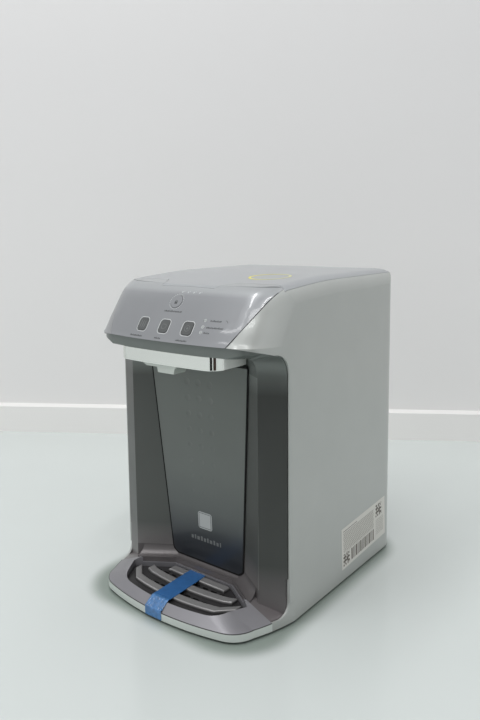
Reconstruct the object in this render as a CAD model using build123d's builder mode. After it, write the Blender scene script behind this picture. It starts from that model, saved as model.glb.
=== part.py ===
"""Countertop water dispenser with a cooled tank: every piece as its own solid.

Frame: millimetres, +Z up, the front faces -Y, +X is on the viewer's right. The origin
is on the floor, below the middle of the width and of the depth. One STEP per piece.
"""
from math import asin, atan2, cos, radians, sin, sqrt, tan
import os

from build123d import *

os.makedirs("parts", exist_ok=True)

# ---------------------------------------------------------------- driving dimensions
body_width = 260.0          # over the side covers
body_height = 391.0         # floor to the top of the lid
foot_height = 3.0
niche_y = -98.0             # depth of the column front: the datum for every Y below
body_rear_y = niche_y + 268.0
rear_corner_r = 28.0
cover_return_x = 100.0      # the side covers wrap round the rear as far as this
skin = 2.5                  # wall of the outer covers
seam = 0.5                  # visible gap between two covers
fit = 0.3                   # clearance of a seated piece

# head: the overhanging upper front, with the sloping control panel
lip_y = niche_y - 62.0      # middle of the lip, the lowest front edge of the panel
lip_z = 323.0
lip_bow = 7.0               # how far the lip curves back before its corners
lip_corner_r = 40.0
brow_corner_r = 40.0        # plan corner where the panel runs into the lid
slope_angle = 34.6          # panel slope, from the vertical
slope_top_z = 365.0         # where the slope starts to roll over
brow_r = 48.0               # roll from the slope to the lid
brow_top_z = 383.0
lid_front_y = niche_y + 14.0
lid_front_z = 385.3
lid_level_y = niche_y + 105.0  # behind this the lid is level
top_edge_r = 24.0           # rounding along the sides and the rear of the top
cap_overhang = 0.3          # the rounding cutter stands this far outside the body
skirt_z = 311.0             # underside of the head
skirt_half_width = 104.0
skirt_front_y = niche_y - 59.0
skirt_bow = 5.0
skirt_corner_r = 22.0
skirt_rear_r = 5.0
skirt_reach = 139.0         # the skirt's flanks, carried on up to the lip's height
head_edge_z = 314.5         # lower edge of the side covers at the back of the head
panel_foot_x = 88.5         # seam between panel and side cover, at the lip
panel_head_x = 119.0        # and at the lid
panel_mid_x = 106.5
panel_mid_z = 355.0
lid_half_width = 121.0
lid_corner_x = 108.0        # outside this the lid's front edge bends forward
lid_corner_drop = 6.3       # and by how much it does so at the side seam
tongue_half_width = 42.0    # finger tongue of the lid, over the panel
tongue_root_half_width = 50.0
tongue_front_y = niche_y - 14.0
tongue_root_y = niche_y + 5.0
lid_skirt_z = 366.0         # lower edge of the lid's rear wall

# niche: the open space for a glass
notch_y = niche_y + 3.5     # vertical front edge of the side covers
notch_top_r = 26.0
notch_foot_r = 15.0
ridge_x = 98.0              # vertical ridges left and right of the front cover
ridge_y = niche_y - 13.0
valley_x = 57.0             # a point on each slanted inner wall of the niche
valley_y = niche_y + 13.0
bay_wall_y = niche_y + 17.0  # fascia wall behind the front cover
niche_floor_z = 28.0
niche_foot_r = 12.0
fascia_wall = 2.5

# front cover: a leaning plate between the slanted walls
cover_foot_y = niche_y + 12.0
cover_foot_z = 29.5
cover_head_y = niche_y - 1.0
cover_head_z = 292.0
cover_thickness = 2.4
cover_gap = 0.9
cover_corner_r = 15.0
dimple_pitch_x = 18.0
dimple_pitch_z = 20.0
dimple_rows = 9
dimple_top_z = 284.0
dimple_r = 14.0             # radius of the ball that presses each dimple
dimple_depth = 0.9          # in the top row
dimple_fade = 0.08          # and this much less in each row below
clip_x = 40.0
clip_low = 30.0
clip_width = 8.0
clip_height = 5.0
badge_z = 88.0
badge_size = 22.0
badge_thickness = 0.2
badge_corner_r = 3.0

# base and drip tray
base_front_y = niche_y - 79.3
base_bow = 11.3
base_corner_x = 88.0
base_hip_x = 113.0
base_hip_y = niche_y - 42.0
base_full_y = niche_y + 12.0  # behind this the base is as wide as the body
tray_seam_y = niche_y - 20.0
rim_front_z = 12.0          # top of the light band round the foot, at the front
rim_rear_z = 12.5           # and at the tray seam
rim_thickness = 1.8
rim_foot_z = 3.0            # clearance of the band over the table
rim_reveal = 0.7            # how much of the band's top edge shows outside the deck
deck_front_z = 20.0         # edge of the grille recess, at the front
deck_rear_z = 28.0          # and at the tray seam
recess_front_y = niche_y - 68.0
recess_bow = 6.0
recess_corner_x = 60.0
recess_hip_x = 80.0
recess_hip_y = niche_y - 46.0
recess_rear_x = 91.0
basin_floor_z = 8.5
basin_wall = 2.0
deck_trim = 0.4             # the recess is cut this far into the deck's slope
tray_gap = 0.6              # tray to fascia, all along its travel
grille_z = 14.0             # underside of the grille plate
grille_thickness = 2.5
grille_ledge = 3.0
rib_height = 4.0
rib_width = 11.0
drain_slot_width = 3.5
slot_pitch = 13.0
slot_length = 9.0
slot_rows = [               # Y and number of drain slots in each valley
    (niche_y - 39.5, 11),
    (niche_y - 14.5, 10),
]
rib_edge_r = 1.6
rib_rows = [                # Y, bow, X where the bow ends, and X and Y of the swept end
    (niche_y - 52.0, 7.0, 63.0, 81.0, niche_y - 28.0),
    (niche_y - 28.0, 5.0, 58.0, 68.0, niche_y - 19.0),
    (niche_y - 5.0, 0.5, 41.0, 45.0, niche_y - 5.5),
]
basin_rear_z = 22.0         # top of the basin's rear walls

# spout
housing_half_width = 77.0
housing_front_y = niche_y - 59.5
housing_rear_y = niche_y - 2.0
housing_bow = 2.0
housing_bottom_z = 295.5
housing_wall = 2.0
housing_corner_r = 18.0
nozzle_x = 2.0
nozzle_width = 24.0
nozzle_depth = 20.0
nozzle_tip_z = 285.5
nozzle_y = niche_y - 46.0
nozzle_bore_r = 4.0

wing_left_x = -28.0         # flat part of the nozzle's wing plate
wing_z = 292.0
boss_length = 5.5
boss_wall = 4.0
wing_run = 7.0              # the wing plate rises to the housing over this length
nozzle_root = 2.0
housing_edge_r = 1.2
nozzle_edge_r = 1.5

# labels and tape
label_y = 81.0
label_z = 47.5
label_length = 119.0
label_height = 54.5
label_tilt = 3.0
label_corner_r = 1.5
label_thickness = 0.15
sticker_x = 60.0
sticker_y = niche_y + 66.0
sticker_r = 26.0
sticker_band = 3.0          # width of the printed ring
tape_x = -5.0
tape_width = 26.0
tape_thickness = 0.2
tape_gap = 0.3
tape_rear_y = niche_y + 2.0

# keys and lamps on the panel
key_width = 14.0
key_height = 16.0
key_corner_r = 3.5
key_pitch = 34.6
key_row_x = -3.0
key_z = 338.5
key_clearance = 0.35
key_proud = 0.5
key_depth = 6.0
key_travel = 0.8
lock_key_r = 8.0
lock_key_z = 365.0
lamp_x = 51.0
lamp_r = 1.3
lamp_heights = [348.0, 341.5, 336.0]
lamp_length = 9.5
lamp_proud = 0.2
board_setback = 13.0        # circuit board behind the panel's face
board_width = 128.0
board_height = 52.0
board_thickness = 1.6
board_z = 349.0
post_r = 3.2                # screw posts behind the panel
post_hole_r = 1.1
post_inset = 6.0            # from the ends of the board
post_rise = 20.0            # above and below the middle of the board
post_gap = 1.0              # between the board and the panel's skin, taken up by the post
board_hole_r = 1.3
chip_spot = (20, 8)
chip_size = 14.0
driver_spots = [(-25, 6), (-30, -14), (44, 12)]
driver_width = 8.0
driver_height = 5.0
chip_thickness = 1.6
switch_r = 1.7
switch_play = 0.1           # between a pressed key and its switch
soft_edge = 0.4             # rounding of the keys' faces

# filter
filter_r = 31.0
filter_y = niche_y + 62.0
filter_foot_z = 66.0
filter_length = 180.0
bay_half_width = 42.0
bay_depth = 80.0
bay_foot_z = 42.0
bay_head_z = 290.0
bay_wall = 2.0
neck_r = 14.0
neck_length = 12.0
head_wall = 3.0             # the filter head is this much slimmer than the cartridge
head_plate = 4.0
cartridge_edge_r = 3.0
grip_width = 6.0            # bar under the cartridge, to turn it by
grip_depth = 14.0
running_fit = 0.05
port_z = 254.0
tee_reach = 29.0
tee_z = 300.0
tee_size = 14.0
upper_line_z = 350.0        # tubes above the foam
valve_line_z = 327.0
tube_bend_r = 7.0

# cold tank, foam, cooler and fan
shelf_z = 182.0             # top of the chassis shelf
sheet = 1.5                 # chassis sheet
chassis_half_width = 112.0
chassis_flange = 8.0
foam = 16.0
tank_width = 104.0
tank_depth = 66.0
tank_height = 112.0
tank_wall = 1.5
tank_corner_r = 10.0
tank_y = niche_y + 157.0
tank_split = 40.0
lid_plate = 2.0
stub_length = 20.0
tank_port_x = 20.0
drain_stub_x = 40.0
drain_turn_z = 150.0
probe_x = 38.0
probe_r = 2.5
probe_tail = 3.0            # sticks out of the foam
chassis_front_y = niche_y + 106.0
chassis_rear_y = niche_y + 236.0
valve_y = niche_y + 1.0
valve_depth = 30.0
valve_half_width = 32.0
valve_height = 20.0
coil_height = 12.0
coil_r = 9.0
valve_corner_r = 3.0
bypass_drop = 20.0          # how far the bypass runs forward before it rises
cooler_z = 262.0
module_size = 40.0
module_thickness = 4.0
sink_size = 96.0
sink_base = 5.0
fin_count = 17
fin_thickness = 1.4
fan_size = 92.0
fan_depth = 25.0
fan_hub_r = 18.0
fan_blade_count = 7
fan_tip_r = 42.0
fan_bore_r = 43.5
fan_corner_r = 4.0
fan_arm_width = 3.0
fan_blade_thickness = 2.2
fan_play = 1.0              # in front of and behind the rotor
blade_setback = 3.0
hub_plate = 2.5
screw_inset = 5.0
screw_head = 2.0

shaft_r = 1.5
screw_r = 2.0
screw_head_r = 3.5
vent_pitch = 8.0
vent_width = 3.5
vent_length = 74.0
vent_count = 11
vent_low_z = 110.0
vent_low_count = 4
power_board_x = -10.0
power_board_y = 65.0
power_board_z = 13.5
power_board_width = 76.0
power_board_depth = 90.0
transformer_spot = (4, 83)
transformer_width = 30.0
transformer_depth = 28.0
transformer_height = 26.0
capacitor_spots = [(-30, 85), (-30, 59)]
capacitor_r = 8.0
capacitor_height = 22.0
standoff_inset = 5.0
standoff_r = 3.0

# base pan, water inlet and drain
pan_floor = 2.5
pan_wall = 2.0
pan_rim_z = 14.0
pan_front_y = niche_y + 22.0
pan_tongue_half_width = 74.0
pan_tongue_y = niche_y - 62.0
inlet_x = -72.0
inlet_z = 46.0
drain_x = 72.0
drain_z = 34.0
gland_x = 40.0
gland_z = 30.0
tube_r = 3.2
tube_wall = 1.0
bore_r = 3.25               # socket for the quarter inch supply tube
fitting_rear_y = 177.8
rear_panel_thickness = 2.5
rear_panel_half_width = 99.5   # half a seam inside the covers' returns
rear_panel_head_z = 364.5
fitting_r = 8.0
fitting_front_y = 150.0
flange_thickness = 3.0
flange_reach = 3.0
socket_depth = 14.0
plug_r = 4.5
plug_head = 3.0
plug_head_r = 7.0
plug_play = 2.0             # left at the bottom of its socket
gland_r = 7.0
gland_front_y = 158.0
gland_rear_y = 175.8
gland_flange_r = 9.0
cord_r = 3.6
regulator_y = 95.0
regulator_length = 40.0
regulator_r = 14.0
foot_r = 9.0
foot_front_y = niche_y - 46.0
foot_rear_y = niche_y + 236.0
foot_front_x = 62.0
foot_rear_x = 96.0
foot_chamfer = 0.6

half_width = body_width / 2
body_foot_z = foot_height
pan_top_z = foot_height + pan_floor
tray_bottom_z = pan_top_z + fit
shoulder_top_z = deck_rear_z + notch_foot_r
rear_panel_y = body_rear_y - rear_panel_thickness
far = 2 * body_width        # reach of a cutter that has to clear the whole body
crown_profile = [           # Y, and how far the lid lies below its level part there
    (niche_y - 67.0, 18.4),
    (niche_y - 9.4, 8.2),
    (lid_front_y, body_height - lid_front_z),
    (niche_y + 50.0, 2.8),
    (lid_level_y, 0.0),
]


# ---------------------------------------------------------------- shared outlines
def front_y_at(z, inset=0.0):
    """Middle of the head's front at height z: a slope that rolls into the lid."""
    rise = radians(slope_angle)
    slope_y = lip_y + (z - lip_z) * tan(rise) + inset / cos(rise)
    centre_z = slope_top_z - brow_r * sin(rise)
    centre_y = lip_y + (slope_top_z - lip_z) * tan(rise) + brow_r * cos(rise)
    roll_r = brow_r - inset
    if z <= centre_z + roll_r * sin(rise):
        return slope_y
    return centre_y - sqrt(max(roll_r**2 - (z - centre_z) ** 2, 1.0))


def plan_sketch(z, half, front_y, bow, corner_r, rear_y, rear_r):
    """Plan outline at height z: bowed front, round corners, straight sides and rear."""
    bend_x = half - corner_r
    bow_radius = (bend_x**2 + bow**2) / (2 * bow)
    swing = asin(bend_x / bow_radius)
    corner_y = front_y + bow + corner_r / (1 - sin(swing)) * cos(swing)
    middle = (bow_radius * sin(swing / 2), front_y + bow_radius * (1 - cos(swing / 2)))
    nick = rear_r * (1 - cos(radians(45)))
    with BuildSketch(Plane.XY.offset(z)) as outline:
        with BuildLine():
            ThreePointArc((0, front_y), middle, (bend_x, front_y + bow))
            TangentArc((bend_x, front_y + bow), (half, corner_y), tangent=(cos(swing), sin(swing)))
            Line((half, corner_y), (half, rear_y - rear_r))
            ThreePointArc(
                (half, rear_y - rear_r), (half - nick, rear_y - nick), (half - rear_r, rear_y)
            )
            Line((half - rear_r, rear_y), (0, rear_y))
            mirror(about=Plane.YZ)
        make_face()
    return outline.sketch


def sloped_plane(front_z, rear_z, front_y, rear_y):
    """Plane that rises towards the rear, with its origin on the Y axis of the frame."""
    slope = atan2(rear_z - front_z, rear_y - front_y)
    origin_z = front_z - front_y * tan(slope)
    return Plane(origin=(0, 0, origin_z), x_dir=(1, 0, 0), z_dir=(0, -sin(slope), cos(slope)))


def base_sketch(plane, inset, rear_y):
    """Plan outline of the base on a plane, moved in by inset and closed at rear_y."""
    stretch = 1 / plane.z_dir.Z
    bow_radius = (base_corner_x**2 + base_bow**2) / (2 * base_bow)
    swing = asin(base_corner_x / bow_radius)
    inner_radius = bow_radius - inset
    centre_y = base_front_y + bow_radius
    bend = (inner_radius * sin(swing), (centre_y - inner_radius * cos(swing)) * stretch)
    middle = (inner_radius * sin(swing / 2), (centre_y - inner_radius * cos(swing / 2)) * stretch)
    hip = (base_hip_x - inset, base_hip_y * stretch)
    side = (half_width - inset, base_full_y * stretch)
    flank = ((hip[0] + side[0]) / 2 + 2.0, (hip[1] + side[1]) / 2)
    with BuildSketch(plane) as outline:
        with BuildLine():
            ThreePointArc((0, (base_front_y + inset) * stretch), middle, bend)
            TangentArc(bend, hip, tangent=(cos(swing), sin(swing)))
            ThreePointArc(hip, flank, side)
            Line(side, (half_width - inset, rear_y * stretch))
            Line((half_width - inset, rear_y * stretch), (0, rear_y * stretch))
            mirror(about=Plane.YZ)
        make_face()
    return outline.sketch


def roof_sketch(plane, rear_y):
    """Inner edge of the deck, round the grille recess, closed at rear_y."""
    stretch = 1 / plane.z_dir.Z
    bow_radius = (recess_corner_x**2 + recess_bow**2) / (2 * recess_bow)
    swing = asin(recess_corner_x / bow_radius)
    bend = (recess_corner_x, (recess_front_y + recess_bow) * stretch)
    middle = (
        bow_radius * sin(swing / 2),
        (recess_front_y + bow_radius * (1 - cos(swing / 2))) * stretch,
    )
    hip = (recess_hip_x, recess_hip_y * stretch)
    rear = (recess_rear_x, base_full_y * stretch)
    flank = ((hip[0] + rear[0]) / 2 + 1.0, (hip[1] + rear[1]) / 2)
    with BuildSketch(plane) as outline:
        with BuildLine():
            ThreePointArc((0, recess_front_y * stretch), middle, bend)
            TangentArc(bend, hip, tangent=(cos(swing), sin(swing)))
            ThreePointArc(hip, flank, rear)
            Line(rear, (recess_rear_x, rear_y * stretch))
            Line((recess_rear_x, rear_y * stretch), (0, rear_y * stretch))
            mirror(about=Plane.YZ)
        make_face()
    return outline.sketch


wall_angle = atan2(valley_y - ridge_y, ridge_x - valley_x)


def slant_y(x, shift):
    """Y of the niche's slanted wall at x, moved back by shift."""
    return ridge_y + (ridge_x - abs(x)) * tan(wall_angle) + shift / cos(wall_angle)


def slant_x(y, shift):
    """X of the niche's slanted wall at y, moved back by shift."""
    return ridge_x - (y - ridge_y - shift / cos(wall_angle)) / tan(wall_angle)


def niche_sketch(z, grow):
    """Plan of the niche's air at height z, with its walls moved back by grow."""
    points = [
        (far, -far),
        (far, notch_y + grow),
        (half_width, notch_y + grow),
        (ridge_x, slant_y(ridge_x, grow)),
        (slant_x(bay_wall_y + grow, grow), bay_wall_y + grow),
    ]
    with BuildSketch(Plane.XY.offset(z)) as outline:
        with BuildLine():
            Polyline(points + [(-x, y) for x, y in reversed(points)], close=True)
        make_face()
    return outline.sketch


def recess_sketch(z, inset, rear_shift):
    """Plan of the grille recess: bowed front, slanted rear walls, moved in by inset."""
    bow_radius = (recess_corner_x**2 + recess_bow**2) / (2 * recess_bow)
    swing = asin(recess_corner_x / bow_radius)
    front_y = recess_front_y + inset
    bend = (recess_corner_x - inset, front_y + recess_bow)
    rear_y = bay_wall_y - rear_shift
    corner_x = recess_rear_x - inset
    with BuildSketch(Plane.XY.offset(z)) as outline:
        with BuildLine():
            ThreePointArc((0, front_y), (bend[0] / 2, front_y + recess_bow / 4), bend)
            TangentArc(bend, (recess_hip_x - inset, recess_hip_y), tangent=(cos(swing), sin(swing)))
            Polyline(
                (recess_hip_x - inset, recess_hip_y),
                (corner_x, slant_y(corner_x, -rear_shift)),
                (slant_x(rear_y, -rear_shift), rear_y),
                (0, rear_y),
            )
            mirror(about=Plane.YZ)
        make_face()
    return outline.sketch


def housing_sketch(z, inset):
    """Plan of the spout housing at height z, moved in by inset."""
    return plan_sketch(
        z,
        housing_half_width - inset,
        housing_front_y + inset,
        housing_bow,
        housing_corner_r - inset,
        housing_rear_y - inset,
        housing_wall + 1,
    )


# ---------------------------------------------------------------- shared solids
def head_solid(inset):
    """Upper body from the lip to the brow, with its outside moved in by inset."""
    head_rise = brow_top_z - inset - lip_z
    levels = [0, 0.23, 0.47, 0.70, 0.83, 0.93, 1]
    with BuildPart() as head:
        loft(
            [
                plan_sketch(
                    lip_z + head_rise * level,
                    half_width - inset,
                    front_y_at(lip_z + head_rise * level, inset),
                    lip_bow,
                    lip_corner_r + (brow_corner_r - lip_corner_r) * level,
                    body_rear_y - inset,
                    rear_corner_r - inset,
                )
                for level in levels
            ]
        )
    return head.part


def crown_solid(inset):
    """Straight continuation of the head, up through the level of the lid."""
    brow_z = brow_top_z - inset
    with BuildPart() as crown:
        add(
            plan_sketch(
                brow_z,
                half_width - inset,
                front_y_at(brow_z, inset),
                lip_bow,
                brow_corner_r,
                body_rear_y - inset,
                rear_corner_r - inset,
            )
        )
        extrude(amount=2 * (body_height - brow_top_z))
    return crown.part


def cap_solid(inset):
    """Everything under the lid's gently rising top, with its sides and rear rounded."""
    width = body_width + 2 * (cap_overhang - inset)
    depth = body_height / 2
    top_z = body_height - inset
    edge_r = top_edge_r - inset
    rear_y = body_rear_y + cap_overhang - inset
    with BuildPart() as cap:
        for station_y, drop in crown_profile:
            with BuildSketch(Plane.XZ.offset(-station_y)):
                with Locations((0, top_z - drop)):
                    RectangleRounded(width, depth, edge_r, align=(Align.CENTER, Align.MAX))
        loft()
        with BuildSketch(Plane.XZ.offset(-crown_profile[-1][0])):
            with Locations((0, top_z)):
                RectangleRounded(width, depth, edge_r, align=(Align.CENTER, Align.MAX))
        extrude(amount=-far)
        with BuildSketch(Plane.YZ):
            with Locations((rear_y, top_z + cap_overhang)):
                RectangleRounded(far, 2 * depth, edge_r, align=(Align.MAX, Align.MAX))
        extrude(amount=far, both=True, mode=Mode.INTERSECT)
    return cap.part


def deck_solid(drop, inset=rim_reveal):
    """The base's sloping deck, from the light band up to the grille recess."""
    rim_plane = sloped_plane(rim_front_z - drop, rim_rear_z - drop, base_front_y, tray_seam_y)
    roof_plane = sloped_plane(deck_front_z - drop, deck_rear_z - drop, recess_front_y, tray_seam_y)
    with BuildPart() as deck:
        loft(
            [base_sketch(rim_plane, inset, bay_wall_y), roof_sketch(roof_plane, bay_wall_y)],
            ruled=True,
        )
    return deck.part


def niche_solid(grow):
    """The niche's air as one solid, with its walls and floor moved back by grow."""
    shoulder_x = recess_rear_x - grow
    with BuildPart() as air:
        add(niche_sketch(niche_floor_z - grow, grow))
        extrude(amount=head_edge_z - niche_floor_z + 2 * grow)
        foot = air.edges().group_by(Axis.Z)[0].filter_by_position(Axis.Y, -half_width, 0)
        fillet(foot, niche_foot_r + grow)
        head = air.edges().group_by(Axis.Z)[-1].filter_by_position(Axis.Y, -half_width, 0)
        fillet(head, notch_top_r + grow)
    rim_plane = sloped_plane(rim_front_z - grow, rim_rear_z - grow, base_front_y, tray_seam_y)
    with BuildPart() as shoulders:
        add(niche_sketch(foot_height, grow))
        extrude(amount=shoulder_top_z - foot_height)
        split(bisect_by=rim_plane, keep=Keep.TOP)
        Box(2 * shoulder_x, far, far, mode=Mode.SUBTRACT)
    with BuildPart() as deck:
        add(deck_solid(grow))
        Box(2 * shoulder_x, far, far, mode=Mode.SUBTRACT)
    return air.part + shoulders.part - deck.part


def skirt_solid(inset):
    """Underside of the head: a chamfered skirt that meets the inside of the outer shell."""
    reach = skin + fit + inset
    with BuildPart() as skirt:
        loft(
            [
                plan_sketch(
                    skirt_z + inset,
                    skirt_half_width - inset,
                    skirt_front_y + inset,
                    skirt_bow,
                    skirt_corner_r,
                    bay_wall_y,
                    skirt_rear_r,
                ),
                plan_sketch(
                    lip_z,
                    skirt_reach - inset,
                    lip_y + reach,
                    lip_bow,
                    lip_corner_r - reach,
                    bay_wall_y,
                    skirt_rear_r,
                ),
            ],
            ruled=True,
        )
        with BuildPart(mode=Mode.PRIVATE) as inside_shell:
            add(
                plan_sketch(
                    skirt_z,
                    half_width - reach,
                    lip_y + reach - fit / 2,
                    lip_bow,
                    lip_corner_r - reach,
                    bay_wall_y + 1,
                    skirt_rear_r,
                )
            )
            extrude(amount=lip_z - skirt_z)
        add(inside_shell, mode=Mode.INTERSECT)
    return skirt.part


def top_solid(inset):
    """Head and crown under their rounded cap, moved in by inset."""
    with BuildPart() as top:
        add(head_solid(inset))
        add(crown_solid(inset))
        add(cap_solid(inset), mode=Mode.INTERSECT)
    return top.part


def shell_solid():
    """Outer cover of the head and the lid, before it is cut into its pieces."""
    with BuildPart() as shell:
        add(top_solid(0))
        add(top_solid(skin), mode=Mode.SUBTRACT)
        with Locations((0, 0, lip_z)):
            Box(far, 2 * far, far, align=(Align.CENTER, Align.CENTER, Align.MAX), mode=Mode.SUBTRACT)
    return shell.part


def panel_region(grow):
    """Everything between the two side seams and in front of the lid."""
    low = panel_foot_x + grow
    middle = panel_mid_x + grow
    high = panel_head_x + grow
    with BuildPart() as region:
        with BuildSketch(Plane.XZ.offset(-lid_front_y - grow)):
            with BuildLine():
                side = Spline((low, lip_z), (middle, panel_mid_z), (high, brow_top_z))
                Polyline(side @ 1, (high, far), (0, far))
                Polyline((0, 0), (low, 0), side @ 0)
                mirror(about=Plane.YZ)
            make_face()
        extrude(amount=far)
    return region.part


def tongue_region(grow):
    """The finger tongue of the lid and the lid itself, seen from above."""
    with BuildPart() as region:
        with BuildSketch():
            with BuildLine():
                Polyline(
                    (0, tongue_front_y - grow),
                    (tongue_half_width - 2, tongue_front_y - grow),
                    (tongue_half_width + grow, tongue_front_y + 3),
                )
                curl = Spline(
                    (tongue_half_width + grow, tongue_front_y + 3),
                    (tongue_root_half_width + grow, tongue_root_y),
                    (tongue_root_half_width + 8 + grow, lid_front_y - grow),
                    tangents=[(0, 1), (1, 0.3)],
                )
                Polyline(
                    curl @ 1,
                    (lid_corner_x, lid_front_y - grow),
                    (lid_half_width + grow, lid_front_y - lid_corner_drop - grow),
                    (lid_half_width + grow, far),
                    (0, far),
                )
                mirror(about=Plane.YZ)
            make_face()
        extrude(amount=far)
    return region.part


def notch_region():
    """Side profile of the niche, cut through the whole width."""
    with BuildPart() as region:
        with BuildSketch(Plane.YZ):
            with BuildLine():
                Polyline(
                    (-far, lip_z),
                    (lip_y + lip_bow, lip_z),
                    (notch_y - notch_top_r, head_edge_z),
                )
                TangentArc(
                    (notch_y - notch_top_r, head_edge_z),
                    (notch_y, head_edge_z - notch_top_r),
                    tangent=(1, 0),
                )
                Line((notch_y, head_edge_z - notch_top_r), (notch_y, rim_rear_z + notch_foot_r))
                TangentArc(
                    (notch_y, rim_rear_z + notch_foot_r),
                    (notch_y - notch_foot_r, rim_rear_z),
                    tangent=(0, -1),
                )
                Polyline(
                    (notch_y - notch_foot_r, rim_rear_z),
                    (tray_seam_y, rim_rear_z),
                    (tray_seam_y, -far),
                    (-far, -far),
                    (-far, lip_z),
                )
            make_face()
        extrude(amount=far, both=True)
    return region.part


shell = shell_solid()
niche_air = niche_solid(0)
tongue = tongue_region(0)
tongue_gap = tongue_region(seam)


# ---------------------------------------------------------------- outer covers
with BuildPart() as side_cover_right:
    with BuildSketch(Plane.XY.offset(body_foot_z)):
        add(plan_sketch(body_foot_z, half_width, lip_y, lip_bow, lip_corner_r, body_rear_y, rear_corner_r))
        add(
            plan_sketch(
                body_foot_z,
                half_width - skin,
                lip_y + skin,
                lip_bow,
                lip_corner_r - skin,
                body_rear_y - skin,
                rear_corner_r - skin,
            ),
            mode=Mode.SUBTRACT,
        )
    extrude(amount=lip_z - body_foot_z)
    with Locations((0, base_full_y, 0)):
        Box(far, far, 2 * deck_rear_z, align=(Align.CENTER, Align.MAX, Align.CENTER), mode=Mode.SUBTRACT)
    with BuildSketch(Plane.XY.offset(body_foot_z)):
        add(base_sketch(Plane.XY, 0, base_full_y + skin))
        add(base_sketch(Plane.XY, skin, base_full_y + skin), mode=Mode.SUBTRACT)
    extrude(amount=2 * deck_rear_z - body_foot_z)
    add(shell)
    add(notch_region(), mode=Mode.SUBTRACT)
    add(panel_region(seam), mode=Mode.SUBTRACT)
    add(tongue_gap.moved(Location((0, 0, slope_top_z))), mode=Mode.SUBTRACT)
    with Locations((0, niche_y, 0)):
        Box(
            2 * cover_return_x,
            far,
            far,
            align=(Align.CENTER, Align.MIN, Align.MIN),
            mode=Mode.SUBTRACT,
        )
    Box(far, far, far, align=(Align.MAX, Align.CENTER, Align.MIN), mode=Mode.SUBTRACT)
side_cover_right.part.label = "side_cover_right"
export_step(side_cover_right.part, "parts/side_cover_right.step")

with BuildPart() as side_cover_left:
    mirror(side_cover_right.part, about=Plane.YZ)
side_cover_left.part.label = "side_cover_left"
export_step(side_cover_left.part, "parts/side_cover_left.step")

with BuildPart() as lid:
    add(shell)
    add(tongue.moved(Location((0, 0, lid_skirt_z))), mode=Mode.INTERSECT)
lid.part.label = "lid"
export_step(lid.part, "parts/lid.step")


# ---------------------------------------------------------------- control panel
def panel_plane(x, z):
    """Plane on the panel's face at x and z, with its normal pointing out."""
    bend_x = half_width - lip_corner_r
    rise = radians(slope_angle)
    origin = (x, front_y_at(z) + lip_bow * (x / bend_x) ** 2, z)
    return Plane(origin=origin, x_dir=(1, 0, 0), z_dir=(0, -cos(rise), sin(rise)))


key_columns = [key_row_x + key_pitch * column for column in (-1, 0, 1)]
board_plane = panel_plane(0, board_z).offset(-board_setback)
post_x = board_width / 2 - post_inset
post_spots = [(x, y) for x in (-post_x, post_x) for y in (-post_rise, post_rise)]

with BuildPart() as control_panel:
    add(shell)
    add(panel_region(0), mode=Mode.INTERSECT)
    with Locations((0, 0, lip_z)):
        Box(far, far, far, align=(Align.CENTER, Align.CENTER, Align.MAX), mode=Mode.SUBTRACT)
    add(tongue_gap.moved(Location((0, 0, slope_top_z))), mode=Mode.SUBTRACT)
    with BuildSketch(board_plane):
        with Locations(post_spots):
            Circle(post_r)
    extrude(amount=board_setback - skin - post_gap)
    for key_x in key_columns:
        with BuildSketch(panel_plane(key_x, key_z)):
            RectangleRounded(
                key_width + 2 * key_clearance,
                key_height + 2 * key_clearance,
                key_corner_r + key_clearance,
            )
        extrude(amount=2 * skin, both=True, mode=Mode.SUBTRACT)
    with BuildSketch(panel_plane(0, lock_key_z)):
        Circle(lock_key_r + key_clearance)
    extrude(amount=2 * skin, both=True, mode=Mode.SUBTRACT)
    for lamp_z in lamp_heights:
        with BuildSketch(panel_plane(lamp_x, lamp_z)):
            Circle(lamp_r)
        extrude(amount=2 * skin, both=True, mode=Mode.SUBTRACT)
    with BuildSketch(board_plane):
        with Locations(post_spots):
            Circle(post_hole_r)
    extrude(amount=board_setback - 2 * skin, mode=Mode.SUBTRACT)
control_panel.part.label = "control_panel"
export_step(control_panel.part, "parts/control_panel.step")

for index, key_x in enumerate(key_columns):
    with BuildPart() as key:
        with BuildSketch(panel_plane(key_x, key_z).offset(key_proud)):
            RectangleRounded(key_width, key_height, key_corner_r)
        extrude(amount=-key_depth)
        fillet(key.faces().sort_by(Axis.Y)[0].edges(), soft_edge)
    key.part.label = f"key_{index + 1}"
    export_step(key.part, f"parts/key_{index + 1}.step")

with BuildPart() as lock_key:
    with BuildSketch(panel_plane(0, lock_key_z).offset(key_proud)):
        Circle(lock_key_r)
    extrude(amount=-key_depth)
    fillet(lock_key.faces().sort_by(Axis.Y)[0].edges(), soft_edge)
lock_key.part.label = "lock_key"
export_step(lock_key.part, "parts/lock_key.step")

with BuildPart() as lamp_lenses:
    for lamp_z in lamp_heights:
        with BuildSketch(panel_plane(lamp_x, lamp_z).offset(lamp_proud)):
            Circle(lamp_r)
        extrude(amount=-lamp_length)
lamp_lenses.part.label = "lamp_lenses"
export_step(lamp_lenses.part, "parts/lamp_lenses.step")

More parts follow.
